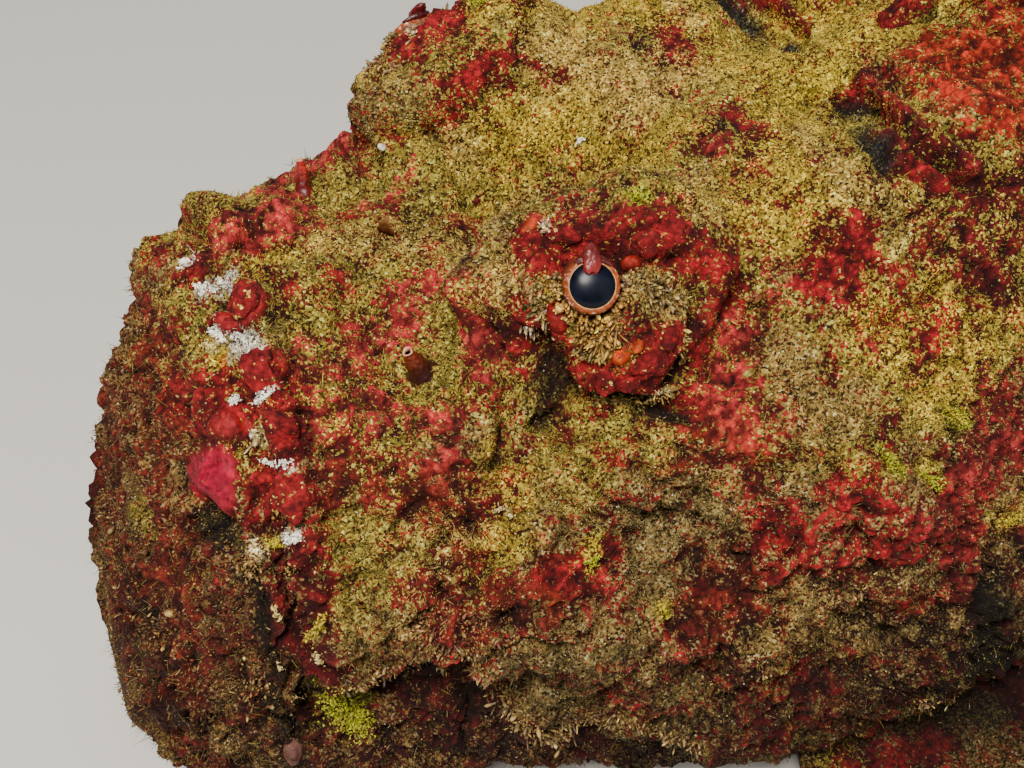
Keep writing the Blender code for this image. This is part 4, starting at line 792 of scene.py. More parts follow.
def make_object(name, points, faces, material, colours=None, values=(), uvs=None, replaces=()):
    """A mesh from arrays in millimetres; faces is a list of arrays with a row for each face."""
    mesh = bpy.data.meshes.new(name)
    points = np.ascontiguousarray(points, np.float32) * MM
    faces = [np.ascontiguousarray(f, np.int32) for f in faces if len(f)]
    mesh.vertices.add(len(points))
    mesh.vertices.foreach_set("co", points.ravel())
    corners = np.concatenate([f.ravel() for f in faces])
    sizes = np.concatenate([np.full(len(f), f.shape[1], np.int32) for f in faces])
    mesh.loops.add(len(corners))
    mesh.loops.foreach_set("vertex_index", corners)
    mesh.polygons.add(len(sizes))
    starts = np.concatenate([[0], np.cumsum(sizes)[:-1]]).astype(np.int32)
    mesh.polygons.foreach_set("loop_start", starts)
    if uvs is not None:
        layer = mesh.uv_layers.new(name="OFBake")
        layer.uv.foreach_set("vector", np.ascontiguousarray(uvs, np.float32).ravel())
    mesh.update(calc_edges=True)
    if colours is not None:
        add_attribute(mesh, "tint", np.clip(colours, 0, 1))
    for key, numbers in values:
        add_attribute(mesh, key, numbers)
    mesh.shade_smooth()
    mesh.materials.append(material)
    obj = bpy.data.objects.new(name, mesh)
    bpy.context.scene.collection.objects.link(obj)
    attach(obj, "root")
    if replaces:
        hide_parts(*replaces)


# Materials

def node(tree, kind, inputs=(), **settings):
    made = tree.nodes.new(kind)
    for key, value in settings.items():
        setattr(made, key, value)
    for socket, value in inputs:
        if isinstance(value, bpy.types.NodeSocket):
            tree.links.new(value, made.inputs[socket])
        else:
            made.inputs[socket].default_value = value
    return made


def maths(tree, operation, first, second=0.0):
    return node(tree, "ShaderNodeMath", ((0, first), (1, second)), operation=operation).outputs[0]


def mixed(tree, share, first, second, blend="MIX"):
    """Two colours mixed by a share."""
    made = tree.nodes.new("ShaderNodeMix")
    made.data_type = "RGBA"
    made.blend_type = blend
    for socket, value in ((made.inputs[0], share), (made.inputs[6], first), (made.inputs[7], second)):
        if isinstance(value, bpy.types.NodeSocket):
            tree.links.new(value, socket)
        else:
            socket.default_value = value if isinstance(value, float) else (*value, 1.0)
    return made.outputs[2]


def ramp(tree, value, stops):
    made = node(tree, "ShaderNodeValToRGB", ((0, value),))
    made.color_ramp.interpolation = "LINEAR"
    elements = made.color_ramp.elements
    while len(elements) > 1:
        elements.remove(elements[-1])
    elements[0].position = stops[0][0]
    elements[0].color = (*stops[0][1], 1.0)
    for place, colour in stops[1:]:
        elements.new(place).color = (*colour, 1.0)
    return made.outputs[0]


def new_material(name, roughness):
    made = bpy.data.materials.new(name)
    made.use_nodes = True
    tree = made.node_tree
    shader = tree.nodes["Principled BSDF"]
    shader.inputs["Roughness"].default_value = roughness
    return made, tree, shader


def attribute(tree, name, output="Color"):
    return node(tree, "ShaderNodeAttribute", attribute_name=name).outputs[output]


def skin_material():
    """Skin whose growth lies on it grain by grain: the share of grains follows the attribute cover."""
    made, tree, shader = new_material("skin", 0.8)
    place = node(tree, "ShaderNodeTexCoord").outputs["Object"]
    fine = node(tree, "ShaderNodeTexVoronoi", (("Vector", place), ("Scale", GRAIN_SCALE)))
    coarse = node(tree, "ShaderNodeTexVoronoi", (("Vector", place), ("Scale", COARSE_SCALE)))
    cloud = node(tree, "ShaderNodeTexNoise",
                 (("Vector", place), ("Scale", 900.0), ("Detail", 7.0), ("Roughness", 0.74)))
    stir = node(tree, "ShaderNodeVectorMath", ((0, cloud.outputs["Color"]), (1, (0.0016, 0.0016, 0.0016))),
                operation="MULTIPLY").outputs[0]
    stirred = node(tree, "ShaderNodeVectorMath", ((0, place), (1, stir)), operation="ADD").outputs[0]
    knobs = node(tree, "ShaderNodeTexVoronoi", (("Vector", stirred), ("Scale", KNOB_SCALE)))
    # Painted shade in the crannies between knobs, and a little painted highlight on their middles
    cranny = ramp(tree, knobs.outputs["Distance"], CRANNY_SHADE_TONES)
    fine_mark = node(tree, "ShaderNodeSeparateColor", ((0, fine.outputs["Color"]),))
    coarse_mark = node(tree, "ShaderNodeSeparateColor", ((0, coarse.outputs["Color"]),))
    cover = attribute(tree, "cover", "Fac")
    drawn = maths(tree, "ADD", maths(tree, "MULTIPLY", fine_mark.outputs[1], 0.55),
                  maths(tree, "MULTIPLY", coarse_mark.outputs[1], 0.45))
    is_grain = maths(tree, "LESS_THAN", drawn, cover)
    grain_tone = ramp(tree, fine_mark.outputs[0], GRAIN_TONES)
    skin_tone = ramp(tree, coarse_mark.outputs[0], SKIN_TONES)
    patchy = ramp(tree, cloud.outputs["Fac"], CLOUD_TONES)
    growth = mixed(tree, 1.0, attribute(tree, "growth"), grain_tone, "MULTIPLY")
    skin = mixed(tree, 0.7, attribute(tree, "tint"), skin_tone, "MULTIPLY")
    skin = mixed(tree, 0.8, skin, patchy, "MULTIPLY")
    sleek = attribute(tree, "sleek", "Fac")
    rugged = maths(tree, "SUBTRACT", 1.0, maths(tree, "MULTIPLY", sleek, 0.75))
    skin = mixed(tree, rugged, skin, mixed(tree, 1.0, skin, cranny, "MULTIPLY"))
    growth = mixed(tree, 0.5, growth, cranny, "MULTIPLY")
    tree.links.new(mixed(tree, is_grain, skin, growth), shader.inputs["Base Color"])
    rough = maths(tree, "SUBTRACT", 0.84, maths(tree, "MULTIPLY", sleek, 0.30))
    tree.links.new(rough, shader.inputs["Roughness"])
    height = maths(tree, "MULTIPLY", fine.outputs["Distance"], -0.6)
    height = maths(tree, "ADD", height, maths(tree, "MULTIPLY", coarse.outputs["Distance"], -0.5))
    height = maths(tree, "MULTIPLY", height, maths(tree, "ADD", maths(tree, "MULTIPLY", cover, 0.8), 0.25))
    height = maths(tree, "ADD", height, maths(tree, "MULTIPLY", cloud.outputs["Fac"], 1.5))
    height = maths(tree, "ADD", height, maths(tree, "MULTIPLY", knobs.outputs["Distance"], -0.35))
    height = maths(tree, "MULTIPLY", height, rugged)
    bump = node(tree, "ShaderNodeBump", (("Height", height), ("Strength", 0.85), ("Distance", 0.0006)))
    tree.links.new(bump.outputs[0], shader.inputs["Normal"])
    shader.inputs["Specular IOR Level"].default_value = 0.2
    return made


def tinted_material(name, roughness, scale, detail, tones, relief, depth):
    """A material in each point's own colour, with an uneven tone and a fine relief."""
    made, tree, shader = new_material(name, roughness)
    place = node(tree, "ShaderNodeTexCoord").outputs["Object"]
    cloud = node(tree, "ShaderNodeTexNoise", (("Vector", place), ("Scale", scale), ("Detail", detail)))
    tone = ramp(tree, cloud.outputs["Fac"], tones)
    tree.links.new(mixed(tree, 1.0, attribute(tree, "tint"), tone, "MULTIPLY"), shader.inputs["Base Color"])
    bump = node(tree, "ShaderNodeBump",
                (("Height", cloud.outputs["Fac"]), ("Strength", relief), ("Distance", depth)))
    tree.links.new(bump.outputs[0], shader.inputs["Normal"])
    return made, shader


def growth_material():
    """What grows on the skin, coloured tuft by tuft."""
    made, shader = tinted_material("growth", 0.5, 1500.0, 2.0, GROWTH_TONES, 0.4, 0.0003)
    shader.inputs["Specular IOR Level"].default_value = 0.2
    return made


def lobe_material():
    """Bare lobes of skin, moister than the rest."""
    return tinted_material("lobe", 0.42, 1800.0, 3.0, LOBE_TONES, 0.35, 0.0004)[0]


def pupil_material():
    made, tree, shader = new_material("pupil", 0.22)
    place = node(tree, "ShaderNodeTexCoord").outputs["Object"]
    cloud = node(tree, "ShaderNodeTexNoise", (("Vector", place), ("Scale", 500.0), ("Detail", 2.0)))
    tone = ramp(tree, cloud.outputs["Fac"], PUPIL_TONES)
    tree.links.new(tone, shader.inputs["Base Color"])
    rough = ramp(tree, cloud.outputs["Fac"], PUPIL_ROUGHNESS)
    tree.links.new(rough, shader.inputs["Roughness"])
    shader.inputs["Specular IOR Level"].default_value = 0.17
    return made


# Places read in the frame

def view_axes():
    azimuth, elevation = math.radians(CAMERA_AZIMUTH), math.radians(CAMERA_ELEVATION)
    right = np.array((math.cos(azimuth), math.sin(azimuth), 0))
    look = np.array((-math.sin(azimuth) * math.cos(elevation), math.cos(azimuth) * math.cos(elevation),
                     -math.sin(elevation)))
    return right, np.cross(right, look), look


def pixel_ray(px, py):
    right, up, look = view_axes()
    scale = SENSOR / LENS / FRAME_WIDTH
    return look + right * (px - FRAME_WIDTH / 2) * scale - up * (py - FRAME_HEIGHT / 2) * scale


class Surface:
    """A grid surface that rays can be cast on, in millimetres."""

    def __init__(self, points):
        faces = grid_faces(*points.shape[:2])
        self.tree = BVHTree.FromPolygons(points.reshape(-1, 3).tolist(), faces.tolist())

    def at_pixel(self, px, py):
        """Where the line of sight through a pixel of the frame meets the fish."""
        return self.seen_at(px, py)[0]

    def seen_at(self, px, py):
        """The same, with the surface's normal turned to the camera."""
        ray = Vector(pixel_ray(px, py))
        place, normal, _, _ = self.tree.ray_cast(Vector(CAMERA_PLACE), ray)
        if place is None:
            return None, None
        return np.array(place), np.array(normal if normal.dot(ray) < 0 else -normal)

    def onto(self, place, normal):
        """The surface's place on the line through a place along a normal."""
        start = Vector(place) + Vector(normal) * 8
        found, _, _, _ = self.tree.ray_cast(start, -Vector(normal))
        return place if found is None else np.array(found)

    def line(self, pixels):
        found = [self.at_pixel(*pixel) for pixel in pixels]
        return np.array([place for place in found if place is not None])

    def lines(self, pixels):
        """The line of places at some pixels, and its mirror image where it has one."""
        line = self.line(pixels)
        return both_sides(line) if len(line) else ()

    def cast(self, start, direction):
        """Where a line from inside the fish first meets the surface."""
        return np.array(self.tree.ray_cast(Vector(start), Vector(direction).normalized())[0])


def near_line(points, line, reach):
    """The points within reach of a line of places, and their distance from it."""
    low, high = line.min(0) - reach, line.max(0) + reach
    inside = np.all((points > low) & (points < high), -1)
    index = np.nonzero(inside)[0]
    chosen = points[index]
    if len(line) == 1:
        return index, np.linalg.norm(chosen - line[0], axis=1)
    nearest = np.full(len(chosen), 1e9)
    for start, end in zip(line[:-1], line[1:]):
        along = end - start
        share = np.clip((chosen - start) @ along / max(along @ along, 1e-9), 0, 1)
        nearest = np.minimum(nearest, np.linalg.norm(chosen - start - share[:, None] * along, axis=1))
    return index, nearest


def has_twin(place):
    """Whether what stands here stands on the right side too; the lips' right ends are overgrown."""
    return abs(place[1]) > 6 and not (place[0] < MOUTH_X + 12 and place[2] > 50)


def both_sides(line):
    """A line and its mirror image, where it has one."""
    return (line, line * (1, -1, 1)) if has_twin(line[len(line) // 2]) else (line,)


def add_forms(rise, points, surface, table, sign):
    """Adds a table's swellings, or takes off its creases."""
    for height, radius, pixels in table:
        for one in surface.lines(pixels):
            index, away = near_line(points, one, radius * 2.6)
            rise[index] += sign * height * np.exp(-((away / radius) ** 2))


def ledge_rise(points, normals, line, wobble):
    """A raised edge that drops sharply on its outer side."""
    low, high = line.min(0) - LEDGE_REACH, line.max(0) + LEDGE_REACH
    index = np.nonzero(np.all((points > low) & (points < high), -1))[0]
    chosen = points[index]
    nearest = np.full(len(chosen), 1e9)
    side = np.zeros(len(chosen))
    for start, end in zip(line[:-1], line[1:]):
        along = (end - start) / max(np.linalg.norm(end - start), 1e-9)
        share = np.clip((chosen - start) @ along, 0, np.linalg.norm(end - start))
        offset = chosen - start - share[:, None] * along
        away = np.linalg.norm(offset, axis=1)
        outward = np.cross(along, normals[index])
        signed = np.sign((offset * outward).sum(1))
        closer = away < nearest
        nearest = np.where(closer, away, nearest)
        side = np.where(closer, signed, side)
    away = nearest * side + wobble[index]
    above = np.exp(-((away / LEDGE_WIDTH) ** 2)) * LEDGE_RISE
    below = -LEDGE_DROP * (1 - np.exp(-((away / LEDGE_SHARP) ** 2)))
    below = below * np.exp(-np.maximum(away, 0) / LEDGE_FADE)
    below += LEDGE_RISE * np.exp(-((away / LEDGE_SHARP) ** 2))
    rise = np.zeros(len(points))
    rise[index] = np.where(away < 0, above, below)
    return rise


# The skin

def column_shares():
    """Where the skin's columns lie round the body: from the belly up its left side and down the right."""
    steps = np.linspace(0, 1, 2001)
    spacing = np.full(len(steps), COLUMN_RIGHT)
    spacing[steps < 0.58] = COLUMN_LEFT
    spacing[(steps < 0.10) | (steps > 0.90)] = COLUMN_BELLY
    kernel = np.hanning(61) / np.hanning(61).sum()
    spacing = np.convolve(np.pad(spacing, 30, mode="wrap"), kernel, mode="valid")
    count = np.concatenate([[0], np.cumsum(GIRTH * np.diff(steps) / (spacing[1:] / 2 + spacing[:-1] / 2))])
    total = int(count[-1])
    return np.interp(np.arange(total) * count[-1] / total, count, steps)


def row_places():
    cap = MOUTH_X - (MOUTH_X - CHIN_X) * np.cos(np.radians(np.linspace(0.8, 90, CAP_ROWS)))
    head = np.arange(MOUTH_X + ROW_HEAD, FINE_END_X, ROW_HEAD)
    trunk = np.arange(FINE_END_X, STATION_X[-1] - 4, ROW_TRUNK)
    tail = STATION_X[-1] - 4 * np.cos(np.radians(np.linspace(0, 89.5, 12)))
    return np.concatenate([cap, head, trunk, tail])


def plain_skin(xs, shares):
    """Points of the plain body, evenly spread round each ring."""
    quarter = (1 - np.cos(np.linspace(0, math.pi, 240))) / 2 * math.pi / 2
    dense = np.concatenate([quarter[:-1] + k * math.pi / 2 for k in range(4)] + [[2 * math.pi]])
    points = np.zeros((len(xs), len(shares), 3))
    turned = (shares + 0.5) % 1.0
    for i, x in enumerate(xs):
        ring = section(np.full(len(dense), x), dense)
        length = np.concatenate([[0], np.cumsum(np.linalg.norm(np.diff(ring, axis=0), axis=1))])
        angles = np.interp(turned, length / max(length[-1], 1e-9), dense)
        points[i] = section(np.full(len(shares), x), angles)
    return points


def outward_normals(points):
    normal = grid_normals(points)
    centre = points.mean(1, keepdims=True)
    sign = np.sign((normal * (points - centre)).sum(-1)[len(points) // 2].mean())
    return normal * sign


def region_roughness(flat):
    """How rugged the skin is: most on the cheek and jaw, less on the snout's top."""
    x, z = flat[:, 0], flat[:, 2]
    low = 1 - smooth_step(62, 84, z)
    return 0.70 + 0.85 * low - 0.25 * smooth_step(-156, -164, x)


def near_share(points, surface, table):
    """For each point, how near it lies to the nearest place of a table, 1 at the place."""
    share = np.zeros(len(points))
    for radius, pixels in table:
        for one in surface.lines(pixels):
            index, away = near_line(points, one, radius * 1.6)
            share[index] = np.maximum(share[index], 1 - smooth_step(0.75, 1.35, away / radius))
    return share


def blended(colours, other, share):
    """Colours changed towards another colour by a share for each point."""
    share = share[:, None]
    return colours * (1 - share) + np.array(other) * share


def ground_paint(points, normals, jaw):
    """The colours that the skin has without the listed patches."""
    red = np.tile(CRIMSON, (len(points), 1))
    red = blended(red, PINK_RED, smooth_step(0.0, 0.9, layers(points, 16.0, 3, 70)))
    red = blended(red, BRICK, 0.8 * smooth_step(-0.1, 0.7, layers(points, 11.0, 4, 75, 0.6)))
    red = blended(red, DEEP_RED, 0.85 * smooth_step(0.05, 0.7, layers(points, 6.0, 4, 80, 0.6)))
    red = blended(red, BRICK, 0.7 * jaw) * (1 - 0.25 * jaw[:, None])
    up = smooth_step(-0.15, 0.75, normals[:, 2])
    top = smooth_step(62, 90, points[:, 2])
    cover = 0.26 + 0.30 * up + 0.40 * layers(points, 12.0, 4, 90, 0.62)
    low_growth = np.array(GREY) * 0.5 + np.array(TAN) * 0.5
    growth = np.tile(low_growth, (len(points), 1))
    growth = blended(growth, OLIVE, smooth_step(-0.4, 0.4, layers(points, 14.0, 3, 97) + 1.2 * (top - 0.5)))
    growth = blended(growth, np.array(UMBER) * 2.2, 0.55 * jaw)
    growth = blended(growth, MUSTARD, smooth_step(0.1, 0.7, layers(points, 10.0, 3, 99)) * top)
    return red, cover, growth


def warped(points):
    """How far noise shifts each point, so that patches get ragged edges."""
    shift = noise_vector(points, 9.0, 40) * 2.0
    shift += noise_vector(points, 3.2, 50) * 1.5
    shift += noise_vector(points, 1.3, 60) * 0.8
    return shift


def mottle(points, knobs):
    """Painted shade in the crannies between the skin's knobs, a painted highlight on their tips, and uneven
    tone at every size.
    """
    tone = 0.86 + 0.34 * layers(points, 3.2, 4, 140, 0.8)
    cranny = smooth_step(0.10, -0.75, knobs)
    tip = smooth_step(0.15, 0.85, knobs)
    return np.clip(tone, 0.25, 1.5) * (1 - 0.78 * cranny) * (1 + 0.30 * tip), tip - cranny


def paint(points, normals, surface, cavity, sleek, knobs):
    """The skin's colour, how much of it growth covers, and the growth's colour, with painted shade in the
    hollows and towards the bottom.
    """
    jaw = smooth_step(0, 5, jaw_line_z(points[:, 0]) - points[:, 2])
    jaw = np.maximum(jaw, smooth_step(MOUTH_X - 5, MOUTH_X - 9, points[:, 0]))
    jaw *= smooth_step(-98, -106, points[:, 0])
    red, cover, growth = ground_paint(points, normals, jaw)
    shift = warped(points)
    for table, sign in ((BARE, -1), (GROWTHS, 1)):
        for colour, strength, radius, pixels in table:
            crisp = 0.2 if strength > 2.5 else min(radius / 4.5, 1)
            for one in surface.lines(pixels):
                index, away = near_line(points + shift * crisp, one, radius * 2)
                share = 1 - smooth_step(0.35, 1.45, away / radius)
                cover[index] += sign * share * 0.5 * strength * (0.3 if colour[0] < 0.1 else 1)
                blend = share * min(strength, 1.0)
                if sign < 0:
                    red[index] = blended(red[index], colour, blend)
                else:
                    growth[index] = blended(growth[index], colour, blend)
    grit = layers(points, 4.0, 4, 110, 0.8)
    # tone holds uneven tone, with painted shade in the crannies and a painted highlight on the knobs' tips
    tone, raised = mottle(points, knobs)
    cover = 0.30 + 0.58 * np.clip(cover, -0.15, 1.0) + 0.26 * grit + 0.12 * raised
    cover = np.clip(cover, 0.12, 0.92) * (1 - 0.80 * sleek)
    # Painted shade: skin and growth darken towards the bottom, less on the jaw
    low = 1 - 0.67 * smooth_step(72, 26, points[:, 2]) * (1 - 0.42 * jaw)
    red = red * (low * (0.45 * sleek + (1 - 0.55 * sleek) * tone))[:, None]
    growth = growth * (low * (0.50 + 0.60 * tone))[:, None]
    # Painted shade in the hollows, by their depth: the skin turns towards SHADE, and the growth darkens and
    # thins
    shade = smooth_step(0.8, 3.4, cavity) * np.clip(0.75 + 0.5 * noise(points, 1.8, 150), 0.3, 1)
    red = blended(red, SHADE, 0.75 * shade)
    growth = growth * (1 - 0.55 * shade[:, None])
    cover = cover * (1 - 0.35 * shade)
    return red, cover, np.clip(growth, 0, 1)


def eye_place(surface, side):
    aim = np.array((EYE_AIM[0], EYE_AIM[1] * side, EYE_AIM[2]))
    aim /= np.linalg.norm(aim)
    place = surface.cast((EYE_X, EYE_SEAT[0] * side, EYE_SEAT[1]), aim)
    return place - aim * EYE_SUNK, aim


def eye_distance(points, surface, side):
    """How high points stand over an eye's middle, and how far they lie from its axis."""
    centre, aim = eye_place(surface, side)
    offset = points - centre
    height = offset @ aim
    return height, np.linalg.norm(offset - height[:, None] * aim, axis=1)


def eye_rise(points, surface):
    """A pit for each eye with a swollen lid round it."""
    rise = np.zeros(len(points))
    for side in (-1, 1):
        height, radius = eye_distance(points, surface, side)
        near = (height > -6) & (radius < 14)
        wobble = 0.5 * noise(points, 3.5, 120)
        lid = (LID_HEIGHT + wobble) * np.exp(-(((radius - LID_RADIUS) / LID_THICK) ** 2))
        pit = -4.0 * np.exp(-((radius / 4.3) ** 6))
        rise += np.where(near, 0.5 * lid + pit, 0)
    return rise


class Skin:
    """The skin as a grid, with what the rest of the scene needs to know about it."""

    open = False

    def __init__(self):
        xs = row_places()
        shares = column_shares()
        plain = plain_skin(xs, shares)
        normal = outward_normals(plain)
        rise = head_rise(plain) - COAT_DEPTH
        below = 1 - smooth_step(0, 6, plain[..., 2] - jaw_line_z(plain[..., 0]))
        inset = JAW_INSET * below * smooth_step(-152, -140, plain[..., 0])
        rise -= inset * smooth_step(-98, -106, plain[..., 0])
        fade = smooth_step(CHIN_X, CHIN_X + 1.5, xs)[:, None]
        base = plain + normal * (rise * fade)[..., None]
        self.surface = Surface(base[::3, ::3])
        self.shape = base.shape[:2]
        flat = base.reshape(-1, 3)
        normals = outward_normals(base).reshape(-1, 3)
        detail = self.details(flat, normals)
        detail *= np.repeat(fade[:, 0], self.shape[1])
        points = flat + normals * detail[:, None]
        points[:, 2] = np.maximum(points[:, 2], FLOOR_CLEAR)
        self.flat = points
        self.outer = Surface(points.reshape(*self.shape, 3)[::2, ::2])
        self.normals = outward_normals(points.reshape(*self.shape, 3)).reshape(-1, 3)
        self.cavity = np.maximum(-(detail - self.broad), 0)
        self.places = KDTree(len(points) // 7 + 1)
        for index in range(0, len(points), 7):
            self.places.insert(points[index], index)
        self.places.balance()
        self.tint, self.cover, self.growth = paint(flat, self.normals, self.surface, self.cavity, self.sleek,
                                                   self.knobs)
        u = np.concatenate([[0], np.cumsum(np.linalg.norm(np.diff(base, axis=0), axis=2).mean(1))])
        self.u = u / u[-1]
        self.v = shares
        self.patch = (np.array((MAP_START, 0.0)), np.array((MAP_SPAN, 1.0)))

    def map_near(self, place):
        """The skin's place in the map nearest to a place on it."""
        row, column = divmod(self.places.find(place)[1], self.shape[1])
        return self.patch[0] + np.array((self.u[row], self.v[column])) * self.patch[1]

    def details(self, flat, normals):
        rise = np.zeros(len(flat))
        head = 1 - smooth_step(-45, -15, flat[:, 0])
        rough = region_roughness(flat)
        self.sleek = near_share(flat, self.surface, SLEEK)
        calm = 1 - 0.8 * self.sleek
        broad = 1.0 * noise(flat, 13.0, 0) + 0.8 * noise(flat, 7.0, 1)
        lumps = cells(flat + 1.2 * noise_vector(flat, 4.0, 30), 5.0, 2)
        ragged = flat + 0.5 * noise_vector(flat, 1.6, 34)
        small = cells(ragged, 2.1, 3)
        tiny = cells(ragged, 1.15, 7)
        rise += broad * rough * 0.8
        self.broad = broad * rough * 0.8
        rise += rough * calm * 2.0 * (0.55 - lumps)
        knobs = 0.8 * (0.55 - small) + 0.55 * (0.5 - tiny) * (0.6 + 0.8 * noise(flat, 5.0, 8))
        knobs += 0.50 * noise(flat, 3.1, 4) + 0.36 * noise(flat, 1.5, 5) + 0.26 * noise(flat, 0.85, 6)
        knobs -= 0.6 * (1 - np.abs(noise(flat, 4.2, 9))) ** 4
        clefts = smooth_step(0.86, 1.0, 1 - np.abs(layers(ragged, 9.0, 3, 44, 0.45)))
        clefts *= smooth_step(-0.35, 0.35, noise(flat, 11.0, 48))
        knobs = knobs - 1.5 * clefts
        self.knobs = knobs
        rise += rough * (0.12 + 0.88 * calm) * knobs
        add_forms(rise, flat, self.surface, SWELLINGS, 1)
        add_forms(rise, flat, self.surface, CREASES, -1)
        wobble = 0.9 * noise(flat, 3.0, 20) + 0.5 * noise(flat, 1.3, 21)
        line = self.surface.line(LEDGE)
        rise += ledge_rise(flat, normals, line, wobble)
        rise += ledge_rise(flat * (1, -1, 1), normals * (1, -1, 1), line, wobble)
        rise += eye_rise(flat, self.surface)
        mouth = smooth_step(MOUTH_CORNER_Z - 6, MOUTH_CORNER_Z + 6, flat[:, 2])
        mouth *= 0.03 + 0.97 * smooth_step(MOUTH_CORNER_Z + 14, MOUTH_CORNER_Z + 30, flat[:, 2])
        sway = 0.5 * noise(flat, 6.0, 25)
        rise -= mouth * MOUTH_DEPTH * np.exp(-np.abs((flat[:, 0] - MOUTH_X + sway) / MOUTH_WIDTH) ** 1.6)
        rise *= 0.7 + 0.3 * head
        return rise

    def build(self, material):
        rows, columns = self.shape
        index = np.arange(rows * columns).reshape(rows, columns)
        after = np.roll(index, -1, 1)
        quads = np.stack([index[:-1], index[1:], after[1:], after[:-1]], -1).reshape(-1, 4)
        front, back = len(self.flat), len(self.flat) + 1
        ends = np.stack([self.flat[:columns].mean(0), self.flat[-columns:].mean(0)])
        points = np.concatenate([self.flat, ends])
        caps = [np.stack([index[0], after[0], np.full(columns, front)], -1)]
        caps.append(np.stack([after[-1], index[-1], np.full(columns, back)], -1))
        u, v = self.u, np.concatenate([self.v, [1.0]])
        uv = np.zeros((rows - 1, columns, 4, 2))
        uv[..., 0, 0], uv[..., 1, 0] = u[:-1, None], u[1:, None]
        uv[..., 2, 0], uv[..., 3, 0] = u[1:, None], u[:-1, None]
        uv[..., 0, 1], uv[..., 1, 1] = v[None, :-1], v[None, :-1]
        uv[..., 2, 1], uv[..., 3, 1] = v[None, 1:], v[None, 1:]
        uv = uv.reshape(-1, 2)
        cap_uv = []
        for u_ring, u_end, flip in ((u[0], u[0] - 0.002, False), (u[-1], u[-1] + 0.002, True)):
            a, b = (v[1:], v[:-1]) if flip else (v[:-1], v[1:])
            places = ((u_ring, a), (u_ring, b), (u_end, (a + b) / 2))
            corners = [np.stack([np.full(columns, across), along], -1) for across, along in places]
            cap_uv.append(np.stack(corners, 1).reshape(-1, 2))
        uvs = np.concatenate([uv] + cap_uv)
        uvs[:, 0] = MAP_START + MAP_SPAN * uvs[:, 0]
        values = (("cover", np.append(self.cover, (0.3, 0.3))), ("sleek", np.append(self.sleek, (0, 0))),
                  ("growth", np.concatenate([self.growth, [OLIVE, OLIVE]])))
        tint = np.concatenate([self.tint, [BRICK, BRICK]])
        nodes = ("head", "lower_jaw", "trunk", "tail_stem", "gill_cover_left", "gill_cover_right")
        make_object("skin", bent(points), [quads] + caps, material, tint, values, uvs, nodes)


# Things that grow on the skin, scattered from a few patterns

def unit(vectors):
    return vectors / np.maximum(np.linalg.norm(vectors, axis=-1, keepdims=True), 1e-9)


def strand_pattern(rng, sides, rings, curl, wave=0.0):
    """A thin closed strand of unit length along z, with its corners' places on a small patch."""
    lean = rng.uniform(0, 2 * math.pi)
    phase = rng.uniform(0, 2 * math.pi)
    points = []
    for i in range(rings + 1):
        t = i / rings
        shift = curl * t * t + wave * t * math.sin(phase + 7 * t)
        middle = (shift * math.cos(lean), shift * math.sin(lean))
        radius = (1 - t) ** 0.6 * 0.5 + 0.06
        for k in range(sides if i < rings else 1):
            a = 2 * math.pi * k / sides
            reach = radius if i < rings else 0
            points.append((middle[0] + reach * math.cos(a), middle[1] + reach * math.sin(a), t))
    faces, uvs = [], []
    for i in range(rings):
        for k in range(sides):
            a, b = i * sides + k, i * sides + (k + 1) % sides
            if i < rings - 1:
                faces += [(a, b, b + sides), (a, b + sides, a + sides)]
                uvs += [((k, i), (k + 1, i), (k + 1, i + 1)), ((k, i), (k + 1, i + 1), (k, i + 1))]
            else:
                faces.append((a, b, rings * sides))
                uvs.append(((k, i), (k + 1, i), (k + 0.5, i + 1)))
    return np.array(points), np.array(faces), np.array(uvs, float) / (sides, rings)


def club_pattern(rng, sides=5, rings=4):
    """A blunt, knobbly papilla, thickest near its tip."""
    shape, faces, uvs = strand_pattern(rng, sides, rings, rng.uniform(0.1, 0.6))
    ring = np.minimum(np.arange(len(shape)) // sides, rings)
    swell = np.interp(ring, (0, 1, 2, 3, 4), (0.8, 0.75, 1.15, 1.65, 1.0)) * rng.uniform(0.7, 1.3, len(shape))
    middle = np.stack([shape[ring == k].mean(0) for k in range(rings + 1)])[ring]
    shape = middle + (shape - middle) * swell[:, None]
    return shape, faces, uvs


def grain_pattern(rng):
    angle = np.radians((0, 120, 240))
    ring = np.stack([np.cos(angle), np.sin(angle), 0 * angle], -1)
    points = np.concatenate([ring, [(0, 0, 1), (0, 0, -1)]]) * rng.uniform(0.65, 1.15, (5, 1))
    points += rng.uniform(-0.15, 0.15, (5, 3))
    faces, uvs = [], []
    for k in range(3):
        n = (k + 1) % 3
        a, b, middle = (k / 3, 0.5), ((k + 1) / 3, 0.5), (k + 0.5) / 3
        faces += [(k, n, 3), (n, k, 4)]
        uvs += [(a, b, (middle, 1.0)), (b, a, (middle, 0.0))]
    return points * 0.55, np.array(faces), np.array(uvs)


